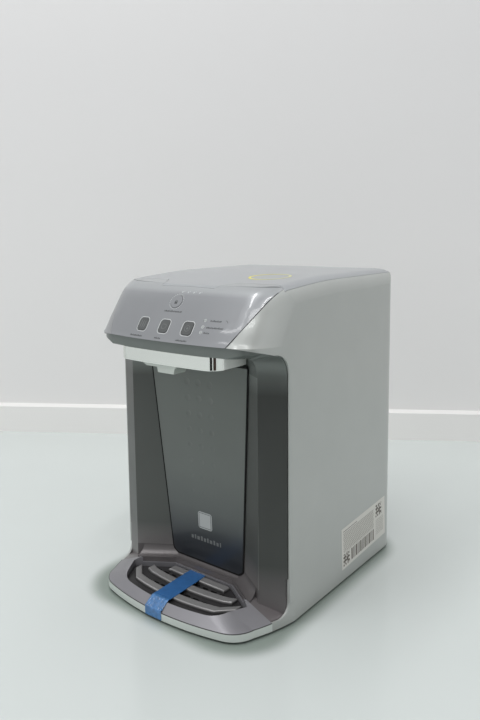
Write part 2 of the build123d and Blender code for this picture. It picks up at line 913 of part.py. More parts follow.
switch_top = key_depth - key_proud + key_travel + switch_play
switch_height = board_setback - switch_top
with BuildPart() as control_board:
    with BuildSketch(board_plane):
        RectangleRounded(board_width, board_height, 2)
        with Locations(post_spots):
            Circle(board_hole_r, mode=Mode.SUBTRACT)
    extrude(amount=-board_thickness)
    with BuildSketch(board_plane.offset(-board_thickness)):
        with Locations(chip_spot):
            Rectangle(chip_size, chip_size)
        with Locations(driver_spots):
            Rectangle(driver_width, driver_height)
    extrude(amount=-chip_thickness)
    for key_x, z in [(x, key_z) for x in key_columns] + [(0, lock_key_z)]:
        rear = panel_plane(key_x, z).offset(-switch_top)
        with BuildSketch(rear):
            Circle(switch_r)
        extrude(amount=-switch_height)
control_board.part.label = "control_board"
export_step(control_board.part, "parts/control_board.step")


# ---------------------------------------------------------------- niche fascia
toe_clearance = basin_wall + tray_gap

with BuildPart() as niche_fascia:
    add(niche_solid(fascia_wall))
    with Locations((0, tray_seam_y, 0)):
        Box(
            2 * (half_width - skin - fit),
            bay_wall_y + fascia_wall - tray_seam_y,
            2 * (head_edge_z + fascia_wall),
            align=(Align.CENTER, Align.MIN, Align.CENTER),
            mode=Mode.INTERSECT,
        )
    with BuildPart(mode=Mode.PRIVATE) as between_covers:
        add(
            plan_sketch(
                0,
                half_width - skin - fit,
                lip_y + skin + fit,
                lip_bow,
                lip_corner_r - skin - fit,
                body_rear_y,
                rear_corner_r,
            )
        )
        extrude(amount=lip_z)
    add(between_covers, mode=Mode.INTERSECT)
    add(recess_sketch(0, -toe_clearance, niche_foot_r))
    extrude(amount=deck_rear_z - fascia_wall, mode=Mode.SUBTRACT)
    with BuildSketch(Plane.XY.offset(tray_bottom_z)):
        add(recess_sketch(0, -toe_clearance - fascia_wall, niche_foot_r - fascia_wall))
    extrude(amount=deck_rear_z - tray_bottom_z)
    add(niche_air, mode=Mode.SUBTRACT)
    add(recess_sketch(0, -toe_clearance, niche_foot_r))
    extrude(amount=deck_rear_z + 1, mode=Mode.SUBTRACT)
    with Locations((0, tray_seam_y, 0)):
        Box(far, far, 2 * lip_z, align=(Align.CENTER, Align.MAX, Align.CENTER), mode=Mode.SUBTRACT)
    add(skirt_solid(0))
    add(skirt_solid(fascia_wall), mode=Mode.SUBTRACT)
    with BuildSketch(Plane.XZ.offset(-bay_wall_y - fascia_wall)):
        with Locations((0, (bay_foot_z + bay_head_z) / 2)):
            Rectangle(2 * (bay_half_width - bay_wall), bay_head_z - bay_foot_z - 2 * bay_wall)
    extrude(amount=niche_foot_r, mode=Mode.SUBTRACT)
    add(housing_sketch(housing_bottom_z - fit, -fit))
    extrude(amount=skirt_z - housing_bottom_z + fit, mode=Mode.SUBTRACT)
    with BuildPart(mode=Mode.PRIVATE) as beside_foot:
        Box(far, far, 4 * deck_rear_z)
        add(base_sketch(Plane.XY.offset(-far), skin + fit, bay_wall_y + niche_foot_r))
        extrude(amount=2 * far, mode=Mode.SUBTRACT)
    add(beside_foot, mode=Mode.SUBTRACT)
    with Locations((nozzle_x, nozzle_y, skirt_z)):
        Box(nozzle_width, nozzle_depth, 4 * fascia_wall, mode=Mode.SUBTRACT)
niche_fascia.part.label = "niche_fascia"
export_step(niche_fascia.part, "parts/niche_fascia.step")


# ---------------------------------------------------------------- front cover
lean = atan2(cover_head_y - cover_foot_y, cover_head_z - cover_foot_z)
cover_plane = Plane(
    origin=(0, cover_foot_y, cover_foot_z), x_dir=(1, 0, 0), z_dir=(0, -cos(lean), sin(lean))
)
cover_height = (cover_head_z - cover_foot_z) / cos(lean)
first_row_y = (dimple_top_z - cover_foot_z) / cos(lean)
cover_rows = [first_row_y - dimple_pitch_z * row for row in range(dimple_rows)]
clip_spots = [(x, y) for x in (-clip_x, clip_x) for y in (clip_low, cover_height - clip_low)]

with BuildPart() as front_cover:
    with BuildSketch(cover_plane):
        with Locations((0, cover_height / 2)):
            RectangleRounded(2 * ridge_x, cover_height, cover_corner_r)
        with Locations((0, cover_height - cover_corner_r)):
            Rectangle(2 * ridge_x, 2 * cover_corner_r)
    extrude(amount=-cover_thickness)
    add(niche_solid(-cover_gap), mode=Mode.INTERSECT)
    for row, row_y in enumerate(cover_rows):
        spot = cover_plane.offset(dimple_r - dimple_depth + dimple_fade * row)
        for column in (-1, 0, 1):
            with Locations(spot.from_local_coords((column * dimple_pitch_x, row_y, 0))):
                Sphere(dimple_r, mode=Mode.SUBTRACT)
    with BuildSketch(Plane.XZ.offset(-(bay_wall_y - fit))):
        with Locations([(x, cover_foot_z + y) for x, y in clip_spots]):
            Rectangle(clip_width, clip_height)
    extrude(until=Until.NEXT)
front_cover.part.label = "front_cover"
export_step(front_cover.part, "parts/front_cover.step")

with BuildPart() as cover_badge:
    with BuildSketch(cover_plane):
        with Locations((0, badge_z - cover_foot_z)):
            RectangleRounded(badge_size, badge_size, badge_corner_r)
    extrude(amount=badge_thickness)
cover_badge.part.label = "cover_badge"
export_step(cover_badge.part, "parts/cover_badge.step")


# ---------------------------------------------------------------- base pan and feet
pan_half_width = half_width - skin - fit
pan_depth = rear_panel_y - fit - pan_front_y

with BuildPart() as base_pan:
    with BuildSketch(Plane.XY.offset(foot_height)):
        with Locations((0, pan_front_y + pan_depth / 2)):
            Rectangle(2 * pan_half_width, pan_depth)
        fillet(vertices().group_by(Axis.Y)[-1], rear_corner_r - skin)
        with Locations((0, pan_tongue_y)):
            Rectangle(
                2 * pan_tongue_half_width, pan_front_y + 1 - pan_tongue_y, align=(Align.CENTER, Align.MIN)
            )
    extrude(amount=pan_floor)
    with BuildSketch(Plane.XY.offset(pan_top_z)):
        with Locations((0, pan_front_y + pan_depth / 2)):
            Rectangle(2 * pan_half_width, pan_depth)
            fillet(vertices().group_by(Axis.Y)[-1], rear_corner_r - skin)
            Rectangle(2 * (pan_half_width - pan_wall), pan_depth - 2 * pan_wall, mode=Mode.SUBTRACT)
    extrude(amount=pan_rim_z - pan_top_z)
base_pan.part.label = "base_pan"
export_step(base_pan.part, "parts/base_pan.step")

foot_spots = [
    (-foot_front_x, foot_front_y),
    (foot_front_x, foot_front_y),
    (-foot_rear_x, foot_rear_y),
    (foot_rear_x, foot_rear_y),
]
for index, (foot_x, foot_y) in enumerate(foot_spots):
    with BuildPart() as foot:
        with BuildSketch():
            with Locations((foot_x, foot_y)):
                Circle(foot_r)
        extrude(amount=foot_height)
        chamfer(foot.edges().group_by(Axis.Z)[0], foot_chamfer)
    foot.part.label = f"foot_{index + 1}"
    export_step(foot.part, f"parts/foot_{index + 1}.step")


# ---------------------------------------------------------------- drip tray
def tray_envelope(wall):
    """Outside of the tray, from the pan up to the deck, moved in by a wall."""
    rim_plane = sloped_plane(rim_front_z - wall, rim_rear_z - wall, base_front_y, tray_seam_y)
    foot_inset = rim_thickness + fit + wall
    deck_inset = foot_inset + deck_trim if wall else rim_reveal
    with BuildPart() as envelope:
        add(base_sketch(Plane.XY.offset(tray_bottom_z), foot_inset, bay_wall_y))
        extrude(amount=rim_rear_z + far)
        split(bisect_by=rim_plane, keep=Keep.BOTTOM)
        add(deck_solid(wall, deck_inset))
    return envelope.part


basin_shift = niche_foot_r + tray_gap

with BuildPart() as tray_cavity:
    add(tray_envelope(basin_wall))
    add(recess_sketch(tray_bottom_z, -basin_wall, basin_shift))
    extrude(amount=far, mode=Mode.SUBTRACT)

with BuildPart() as behind_seam:
    with Locations((0, tray_seam_y, 0)):
        Box(far, far, far, align=(Align.CENTER, Align.MIN, Align.MIN))
    add(recess_sketch(0, -basin_wall, basin_shift))
    extrude(amount=basin_rear_z, mode=Mode.SUBTRACT)

with BuildPart() as drip_tray:
    add(tray_envelope(0))
    add(tray_cavity, mode=Mode.SUBTRACT)
    add(behind_seam, mode=Mode.SUBTRACT)
    add(recess_sketch(grille_z, -deck_trim, basin_shift + basin_wall))
    extrude(amount=far, mode=Mode.SUBTRACT)
    add(recess_sketch(basin_floor_z, grille_ledge, basin_shift + basin_wall + grille_ledge))
    extrude(amount=far, mode=Mode.SUBTRACT)
drip_tray.part.label = "drip_tray"
export_step(drip_tray.part, "parts/drip_tray.step")

with BuildPart() as tray_rim:
    add(base_sketch(Plane.XY.offset(rim_foot_z), 0, bay_wall_y))
    extrude(amount=far)
    add(base_sketch(Plane.XY.offset(rim_foot_z), rim_thickness, bay_wall_y))
    extrude(amount=far, mode=Mode.SUBTRACT)
    split(
        bisect_by=sloped_plane(rim_front_z, rim_rear_z, base_front_y, tray_seam_y), keep=Keep.BOTTOM
    )
    split(bisect_by=Plane.XZ.offset(-tray_seam_y), keep=Keep.TOP)
tray_rim.part.label = "tray_rim"
export_step(tray_rim.part, "parts/tray_rim.step")


# ---------------------------------------------------------------- grille and tape
def rib_sketch(z, front_y, bow, corner_x, end_x, end_y):
    """Plan of one grille rib: a bowed middle, swept back at both ends."""
    half_rib = rib_width / 2
    with BuildSketch(Plane.XY.offset(z)) as outline:
        with BuildLine():
            front = ThreePointArc(
                (0, front_y - half_rib),
                (corner_x / 2, front_y - half_rib + bow / 4),
                (corner_x, front_y - half_rib + bow),
            )
            rear = ThreePointArc(
                (corner_x, front_y + half_rib + bow),
                (corner_x / 2, front_y + half_rib + bow / 4),
                (0, front_y + half_rib),
            )
            Polyline(front @ 1, (end_x, end_y - half_rib), (end_x, end_y + half_rib), rear @ 0)
            mirror(about=Plane.YZ)
        make_face()
    return outline.sketch


grille_top_z = grille_z + grille_thickness

with BuildPart() as drip_grille:
    add(recess_sketch(grille_z, 2 * fit, basin_shift + basin_wall + 2 * fit))
    extrude(amount=grille_thickness)
    for front_y, bow, corner_x, end_x, end_y in rib_rows:
        add(rib_sketch(grille_top_z, front_y, bow, corner_x, end_x, end_y))
        extrude(amount=rib_height)
        fillet(drip_grille.edges().group_by(Axis.Z)[-1], rib_edge_r)
    with BuildSketch(Plane.XY.offset(grille_z)):
        for row_y, count in slot_rows:
            with Locations((0, row_y)):
                with GridLocations(slot_pitch, 1, count, 1):
                    SlotOverall(slot_length, drain_slot_width)
    extrude(amount=grille_thickness, mode=Mode.SUBTRACT)
drip_grille.part.label = "drip_grille"
export_step(drip_grille.part, "parts/drip_grille.step")


tape_lift = tape_gap + tape_thickness


def tape_path(lift):
    """Side view of the tape: over the ribs, down the deck and over the band."""
    return [
        (tape_rear_y, grille_top_z + rib_height + lift),
        (recess_front_y, grille_top_z + rib_height + lift),
        (base_front_y - lift, rim_front_z + lift),
        (base_front_y - lift, rim_foot_z),
    ]


with BuildPart() as shipping_tape:
    with BuildSketch(Plane.YZ.offset(tape_x - tape_width / 2)):
        with BuildLine():
            Polyline(tape_path(tape_lift) + tape_path(tape_gap)[::-1], close=True)
        make_face()
    extrude(amount=tape_width)
shipping_tape.part.label = "shipping_tape"
export_step(shipping_tape.part, "parts/shipping_tape.step")


# ---------------------------------------------------------------- spout
boss_r = nozzle_bore_r + boss_wall
nozzle_left_x = nozzle_x - nozzle_width / 2
nozzle_right_x = nozzle_x + nozzle_width / 2

with BuildPart() as spout_housing:
    add(housing_sketch(housing_bottom_z, 0))
    extrude(amount=skirt_z - housing_bottom_z)
    fillet(spout_housing.edges().group_by(Axis.Z)[0], housing_edge_r)
    add(housing_sketch(housing_bottom_z + housing_wall, housing_wall))
    extrude(amount=skirt_z - housing_bottom_z - housing_wall, mode=Mode.SUBTRACT)
    with BuildSketch(Plane.XY.offset(housing_bottom_z)):
        with Locations((nozzle_x, nozzle_y)):
            Circle(boss_r + fit)
    extrude(amount=housing_wall, mode=Mode.SUBTRACT)
spout_housing.part.label = "spout_housing"
export_step(spout_housing.part, "parts/spout_housing.step")

with BuildPart() as spout_nozzle:
    with BuildSketch(Plane.XZ.offset(-nozzle_y - nozzle_depth / 2)):
        with BuildLine():
            Polyline(
                (wing_left_x - wing_run, housing_bottom_z),
                (wing_left_x, wing_z),
                (nozzle_left_x - nozzle_root / 2, wing_z),
                (nozzle_left_x, nozzle_tip_z),
                (nozzle_right_x, nozzle_tip_z),
                (nozzle_right_x + nozzle_root, wing_z),
                (nozzle_right_x + wing_run, housing_bottom_z),
                close=True,
            )
        make_face()
    extrude(amount=nozzle_depth)
    fillet(spout_nozzle.edges().group_by(Axis.Z)[0], nozzle_edge_r)
    with BuildSketch(Plane.XY.offset(housing_bottom_z)):
        with Locations((nozzle_x, nozzle_y)):
            Circle(boss_r)
    extrude(amount=boss_length)
    with BuildSketch(Plane.XY.offset(nozzle_tip_z)):
        with Locations((nozzle_x, nozzle_y)):
            Circle(nozzle_bore_r)
    extrude(amount=far, mode=Mode.SUBTRACT)
spout_nozzle.part.label = "spout_nozzle"
export_step(spout_nozzle.part, "parts/spout_nozzle.step")


# ---------------------------------------------------------------- labels
with BuildPart() as side_label:
    with BuildSketch(Plane.YZ.offset(half_width)):
        with Locations(Location((label_y, label_z), label_tilt)):
            RectangleRounded(label_length, label_height, label_corner_r)
    extrude(amount=label_thickness)
side_label.part.label = "side_label"
export_step(side_label.part, "parts/side_label.step")

with BuildPart() as lid_sticker:
    add(top_solid(-label_thickness))
    add(top_solid(0), mode=Mode.SUBTRACT)
    with BuildSketch(Plane.XY.offset(brow_top_z)):
        with Locations((sticker_x, sticker_y)):
            Circle(sticker_r)
            Circle(sticker_r - sticker_band, mode=Mode.SUBTRACT)
    extrude(amount=far, mode=Mode.INTERSECT)
lid_sticker.part.label = "lid_sticker"
export_step(lid_sticker.part, "parts/lid_sticker.step")


# ---------------------------------------------------------------- filter
bay_front_y = bay_wall_y + fascia_wall
bay_middle_z = (bay_foot_z + bay_head_z) / 2
head_foot_z = filter_foot_z + filter_length + fit

with BuildPart() as filter_bay:
    with Locations((0, bay_front_y + bay_depth / 2, bay_middle_z)):
        Box(2 * bay_half_width, bay_depth, bay_head_z - bay_foot_z)
        Box(
            2 * (bay_half_width - bay_wall),
            bay_depth - 2 * bay_wall,
            bay_head_z - bay_foot_z - 2 * bay_wall,
            mode=Mode.SUBTRACT,
        )
    with Locations((0, bay_front_y, bay_middle_z)):
        Box(
            2 * (bay_half_width - bay_wall),
            3 * bay_wall,
            bay_head_z - bay_foot_z - 2 * bay_wall,
            mode=Mode.SUBTRACT,
        )
    with BuildSketch(Plane.YZ.offset(-bay_half_width)):
        with Locations((filter_y, port_z)):
            Circle(tube_r + fit)
    extrude(amount=2 * bay_half_width, mode=Mode.SUBTRACT)
filter_bay.part.label = "filter_bay"
export_step(filter_bay.part, "parts/filter_bay.step")

with BuildPart() as filter_head:
    with BuildSketch(Plane.XY.offset(head_foot_z)):
        with Locations((0, filter_y)):
            Circle(filter_r - head_wall)
            Circle(neck_r + running_fit, mode=Mode.SUBTRACT)
    extrude(amount=neck_length + fit)
    with BuildSketch(Plane.XY.offset(head_foot_z + neck_length + fit)):
        with Locations((0, filter_y)):
            Circle(filter_r - head_wall)
    extrude(amount=head_plate)
    with BuildSketch(Plane.XY.offset(head_foot_z + neck_length + fit)):
        with Locations((0, filter_y)):
            Circle(neck_r)
    extrude(until=Until.NEXT, target=filter_bay.part)
filter_head.part.label = "filter_head"
export_step(filter_head.part, "parts/filter_head.step")

with BuildPart() as filter_cartridge:
    with BuildSketch(Plane.XY.offset(filter_foot_z)):
        with Locations((0, filter_y)):
            Circle(filter_r)
    extrude(amount=filter_length)
    fillet(filter_cartridge.edges(), cartridge_edge_r)
    with BuildSketch(Plane.XY.offset(filter_foot_z + filter_length)):
        with Locations((0, filter_y)):
            Circle(neck_r)
    extrude(amount=neck_length)
    with BuildSketch(Plane.XY.offset(filter_foot_z)):
        with Locations((0, filter_y)):
            Rectangle(1.6 * filter_r, grip_width)
    extrude(amount=-grip_depth)
filter_cartridge.part.label = "filter_cartridge"
export_step(filter_cartridge.part, "parts/filter_cartridge.step")


# ---------------------------------------------------------------- chassis, tank and foam
tank_foot_z = shelf_z + foam
tank_head_z = tank_foot_z + tank_height
foam_width = tank_width + 2 * foam
foam_depth = tank_depth + 2 * foam
split_z = tank_foot_z + tank_split
foam_rear_y = tank_y + tank_depth / 2 + foam
stub_r = tube_r + tube_wall
stub_bore_r = tube_r - tube_wall

with BuildPart() as chassis:
    with BuildSketch(Plane.XZ.offset(-chassis_rear_y)):
        with Locations((0, pan_top_z)):
            Rectangle(
                2 * chassis_half_width, shelf_z - pan_top_z, align=(Align.CENTER, Align.MIN)
            )
            Rectangle(
                2 * (chassis_half_width - sheet),
                shelf_z - pan_top_z - sheet,
                align=(Align.CENTER, Align.MIN),
                mode=Mode.SUBTRACT,
            )
    extrude(amount=chassis_rear_y - chassis_front_y)
    with BuildSketch(Plane.XY.offset(pan_top_z)):
        with Locations(
            (chassis_half_width + chassis_flange / 2, (chassis_front_y + chassis_rear_y) / 2)
        ):
            Rectangle(chassis_flange, chassis_rear_y - chassis_front_y)
        mirror(about=Plane.YZ)
    extrude(amount=sheet)
    with BuildSketch(Plane.XY.offset(shelf_z)):
        with Locations((drain_stub_x, tank_y)):
            Circle(stub_r + fit)
    extrude(amount=-2 * sheet, mode=Mode.SUBTRACT)
chassis.part.label = "chassis"
export_step(chassis.part, "parts/chassis.step")

with BuildPart() as cold_tank:
    with BuildSketch(Plane.XY.offset(tank_foot_z)):
        with Locations((0, tank_y)):
            RectangleRounded(tank_width, tank_depth, tank_corner_r)
    extrude(amount=tank_height)
    with BuildSketch(Plane.XY.offset(tank_foot_z + tank_wall)):
        with Locations((0, tank_y)):
            RectangleRounded(
                tank_width - 2 * tank_wall, tank_depth - 2 * tank_wall, tank_corner_r - tank_wall
            )
    extrude(amount=tank_height, mode=Mode.SUBTRACT)
    with BuildSketch(Plane.XY.offset(tank_foot_z)):
        with Locations((drain_stub_x, tank_y)):
            Circle(stub_r)
    extrude(amount=-stub_length)
    with BuildSketch(Plane.XY.offset(tank_foot_z + tank_wall)):
        with Locations((drain_stub_x, tank_y)):
            Circle(stub_bore_r)
    extrude(amount=-far, mode=Mode.SUBTRACT)
cold_tank.part.label = "cold_tank"
export_step(cold_tank.part, "parts/cold_tank.step")

with BuildPart() as tank_lid:
    with BuildSketch(Plane.XY.offset(tank_head_z)):
        with Locations((0, tank_y)):
            RectangleRounded(tank_width, tank_depth, tank_corner_r)
    extrude(amount=lid_plate)
    with BuildSketch(Plane.XY.offset(tank_head_z + lid_plate)):
        with Locations((-tank_port_x, tank_y), (tank_port_x, tank_y)):
            Circle(stub_r)
    extrude(amount=stub_length)
    with BuildSketch(Plane.XY.offset(tank_head_z)):
        with Locations((-tank_port_x, tank_y), (tank_port_x, tank_y)):
            Circle(stub_bore_r)
    extrude(amount=far, mode=Mode.SUBTRACT)
tank_lid.part.label = "tank_lid"
export_step(tank_lid.part, "parts/tank_lid.step")


def foam_part(low_z, high_z):
    """A slice of the foam box round the tank, from low_z to high_z."""
    with BuildPart() as piece:
        with Locations((0, tank_y, (low_z + high_z) / 2)):
            Box(foam_width, foam_depth, high_z - low_z)
        with BuildSketch(Plane.XY.offset(tank_foot_z)):
            with Locations((0, tank_y)):
                RectangleRounded(
                    tank_width + 2 * fit, tank_depth + 2 * fit, tank_corner_r + fit
                )
        extrude(amount=tank_height + lid_plate + fit, mode=Mode.SUBTRACT)
        with Locations((0, foam_rear_y, cooler_z)):
            Box(module_size + 2 * fit, 3 * foam, module_size + 2 * fit, mode=Mode.SUBTRACT)
        with BuildSketch(Plane.XY):
            with Locations((drain_stub_x, tank_y)):
                Circle(stub_r + fit)
        extrude(amount=tank_foot_z, mode=Mode.SUBTRACT)
        with BuildSketch(Plane.XY.offset(tank_head_z)):
            with Locations((-tank_port_x, tank_y), (tank_port_x, tank_y)):
                Circle(stub_r + fit)
        extrude(amount=far, mode=Mode.SUBTRACT)
        with BuildSketch(Plane.XZ.offset(-foam_rear_y)):
            with Locations((probe_x, cooler_z)):
                Circle(probe_r + fit)
        extrude(amount=2 * foam, mode=Mode.SUBTRACT)
    return piece.part


for foam_name, low_z, high_z in (
    ("tank_foam_lower", shelf_z, split_z),
    ("tank_foam_upper", split_z, tank_head_z + lid_plate + foam),
):
    with BuildPart() as foam_slice:
        add(foam_part(low_z, high_z))
    foam_slice.part.label = foam_name
    export_step(foam_slice.part, f"parts/{foam_name}.step")

with BuildPart() as temperature_probe:
    with BuildSketch(Plane.XZ.offset(-tank_y - tank_depth / 2)):
        with Locations((probe_x, cooler_z)):
            Circle(probe_r)
    extrude(amount=-foam - probe_tail)
temperature_probe.part.label = "temperature_probe"
export_step(temperature_probe.part, "parts/temperature_probe.step")


# ---------------------------------------------------------------- cooler and fan
with BuildPart() as cold_block:
    with BuildSketch(Plane.XZ.offset(-tank_y - tank_depth / 2)):
        with Locations((0, cooler_z)):
            Rectangle(module_size, module_size)
    extrude(amount=-foam)
cold_block.part.label = "cold_block"
export_step(cold_block.part, "parts/cold_block.step")

with BuildPart() as thermoelectric_module:
    with BuildSketch(Plane.XZ.offset(-foam_rear_y)):
        with Locations((0, cooler_z)):
            Rectangle(module_size, module_size)
    extrude(amount=-module_thickness)
thermoelectric_module.part.label = "thermoelectric_module"
export_step(thermoelectric_module.part, "parts/thermoelectric_module.step")

sink_y = foam_rear_y + module_thickness
fan_y = rear_panel_y - fit - fan_depth
fin_pitch = (sink_size - fin_thickness) / (fin_count - 1)

with BuildPart() as heat_sink:
    with BuildSketch(Plane.XZ.offset(-sink_y)):
        with Locations((0, cooler_z)):
            Rectangle(sink_size, sink_size)
    extrude(amount=-sink_base)
    with BuildSketch(Plane.XZ.offset(-sink_y - sink_base)):
        with Locations((0, cooler_z)):
            with GridLocations(fin_pitch, 1, fin_count, 1):
                Rectangle(fin_thickness, sink_size)
    extrude(amount=-(fan_y - fit - sink_y - sink_base))
heat_sink.part.label = "heat_sink"
export_step(heat_sink.part, "parts/heat_sink.step")

fan_plane = Plane(origin=(0, fan_y, cooler_z), x_dir=(1, 0, 0), z_dir=(0, -1, 0))

with BuildPart() as fan_frame:
    with BuildSketch(fan_plane):
        RectangleRounded(fan_size, fan_size, fan_corner_r)
        Circle(fan_bore_r, mode=Mode.SUBTRACT)
    extrude(amount=-fan_depth)
    with BuildSketch(fan_plane.offset(-fan_depth + hub_plate)):
        Circle(fan_hub_r)
        with PolarLocations(0, 4, start_angle=45):
            with Locations((fan_bore_r / 2, 0)):
                Rectangle(fan_bore_r + 1, fan_arm_width)
        Circle(shaft_r + running_fit, mode=Mode.SUBTRACT)
    extrude(amount=-hub_plate)
    with BuildSketch(fan_plane):
        with GridLocations(fan_size - 2 * screw_inset, fan_size - 2 * screw_inset, 2, 2):
            Circle(screw_r + fit)
    extrude(amount=-fan_depth, mode=Mode.SUBTRACT)
fan_frame.part.label = "fan_frame"
export_step(fan_frame.part, "parts/fan_frame.step")

rotor_depth = fan_depth - hub_plate - 2 * fan_play

with BuildPart() as fan_rotor:
    with BuildSketch(fan_plane.offset(-fan_play)):
        Circle(fan_hub_r)
    extrude(amount=-rotor_depth)
    with BuildSketch(fan_plane.offset(-fan_play)):
        Circle(shaft_r)
    extrude(amount=-(fan_depth - 1.5 * fan_play))
    with BuildSketch(fan_plane.offset(-fan_play - blade_setback)):
        with PolarLocations(0, fan_blade_count):
            with Locations(((fan_hub_r + fan_tip_r) / 2, 0)):
                Rectangle(fan_tip_r - fan_hub_r + 2, fan_blade_thickness)
    extrude(amount=-rotor_depth + 2 * blade_setback)
fan_rotor.part.label = "fan_rotor"
export_step(fan_rotor.part, "parts/fan_rotor.step")


# ---------------------------------------------------------------- rear panel
with BuildPart() as rear_panel:
    with BuildSketch(Plane.XZ.offset(-rear_panel_y)):
        with Locations((0, (body_foot_z + rear_panel_head_z) / 2)):
            Rectangle(2 * rear_panel_half_width, rear_panel_head_z - body_foot_z)
        with Locations((0, cooler_z)):
            with GridLocations(1, vent_pitch, 1, vent_count):
                SlotOverall(vent_length, vent_width, mode=Mode.SUBTRACT)
            with GridLocations(fan_size - 2 * screw_inset, fan_size - 2 * screw_inset, 2, 2):
                Circle(screw_r + fit, mode=Mode.SUBTRACT)
        with Locations((0, vent_low_z)):
            with GridLocations(1, vent_pitch, 1, vent_low_count):
                SlotOverall(vent_length, vent_width, mode=Mode.SUBTRACT)
        with Locations((inlet_x, inlet_z), (drain_x, drain_z)):
            Circle(fitting_r + fit, mode=Mode.SUBTRACT)
        with Locations((gland_x, gland_z)):
            Circle(gland_r + fit, mode=Mode.SUBTRACT)
    extrude(amount=-rear_panel_thickness)
rear_panel.part.label = "rear_panel"
export_step(rear_panel.part, "parts/rear_panel.step")

with BuildPart() as rear_screws:
    with BuildSketch(fan_plane):
        with GridLocations(fan_size - 2 * screw_inset, fan_size - 2 * screw_inset, 2, 2):
            Circle(screw_r)
    extrude(amount=-(body_rear_y - fan_y))
    with BuildSketch(fan_plane.offset(-(body_rear_y - fan_y))):
        with GridLocations(fan_size - 2 * screw_inset, fan_size - 2 * screw_inset, 2, 2):
            Circle(screw_head_r)
    extrude(amount=-screw_head)
rear_screws.part.label = "rear_screws"
export_step(rear_screws.part, "parts/rear_screws.step")


# ---------------------------------------------------------------- fittings at the rear
def rear_fitting(x, z, radius, front_y, bore, bore_depth):
    """A turned fitting through the rear panel, with a flange outside."""
    with BuildPart() as fitting:
        with BuildSketch(Plane.XZ.offset(-front_y)):
            with Locations((x, z)):
                Circle(radius)
        extrude(amount=-(fitting_rear_y - front_y))
        with BuildSketch(Plane.XZ.offset(-body_rear_y)):
            with Locations((x, z)):
                Circle(radius + flange_reach)
        extrude(amount=-flange_thickness)
        with BuildSketch(Plane.XZ.offset(-fitting_rear_y)):
            with Locations((x, z)):
                Circle(bore)
        extrude(amount=bore_depth, mode=Mode.SUBTRACT)
    return fitting.part


with BuildPart() as inlet_fitting:
    add(rear_fitting(inlet_x, inlet_z, fitting_r, fitting_front_y, bore_r, socket_depth))
inlet_fitting.part.label = "inlet_fitting"
export_step(inlet_fitting.part, "parts/inlet_fitting.step")

with BuildPart() as drain_fitting:
    add(rear_fitting(drain_x, drain_z, fitting_r, fitting_front_y, plug_r + running_fit, socket_depth))
    with Locations((drain_x, fitting_rear_y, drain_z)):
        Box(4 * fitting_r, 2 * plug_head, 4 * fitting_r, mode=Mode.SUBTRACT)
drain_fitting.part.label = "drain_fitting"
export_step(drain_fitting.part, "parts/drain_fitting.step")

with BuildPart() as drain_plug:
    with BuildSketch(Plane.XZ.offset(-fitting_rear_y + plug_head)):
        with Locations((drain_x, drain_z)):
            Circle(plug_r)
    extrude(amount=socket_depth - plug_head - plug_play)
    with BuildSketch(Plane.XZ.offset(-fitting_rear_y + plug_head)):
        with Locations((drain_x, drain_z)):
            Circle(plug_head_r)
    extrude(amount=-plug_head)
drain_plug.part.label = "drain_plug"
export_step(drain_plug.part, "parts/drain_plug.step")

with BuildPart() as cord_gland:
    with BuildSketch(Plane.XZ.offset(-gland_front_y)):
        with Locations((gland_x, gland_z)):
            Circle(gland_r)
            Circle(cord_r, mode=Mode.SUBTRACT)
    extrude(amount=-(gland_rear_y - gland_front_y))
    with BuildSketch(Plane.XZ.offset(-body_rear_y)):
        with Locations((gland_x, gland_z)):
            Circle(gland_flange_r)
            Circle(cord_r, mode=Mode.SUBTRACT)
    extrude(amount=-flange_thickness)
cord_gland.part.label = "cord_gland"
export_step(cord_gland.part, "parts/cord_gland.step")


# ---------------------------------------------------------------- water path
with BuildPart() as pressure_regulator:
    with BuildSketch(Plane.XZ.offset(-regulator_y)):
        with Locations((inlet_x, inlet_z)):
            Circle(regulator_r)
    extrude(amount=-regulator_length)
    with Locations((inlet_x, regulator_y + regulator_length / 2, (inlet_z + pan_top_z) / 2)):
        Box(regulator_r, regulator_length / 2, inlet_z - pan_top_z)
pressure_regulator.part.label = "pressure_regulator"
export_step(pressure_regulator.part, "parts/pressure_regulator.step")

valve_foot_z = skirt_z + fascia_wall
with BuildPart() as water_valves:
    with BuildSketch(Plane.XY.offset(valve_foot_z)):
        with Locations((0, valve_y)):
            RectangleRounded(2 * valve_half_width, valve_depth, valve_corner_r)
    extrude(amount=valve_height)
    with BuildSketch(Plane.XY.offset(valve_foot_z + valve_height)):
        with Locations((-tank_port_x, valve_y), (tank_port_x, valve_y)):
            Circle(coil_r)
    extrude(amount=coil_height)
water_valves.part.label = "water_valves"
export_step(water_valves.part, "parts/water_valves.step")

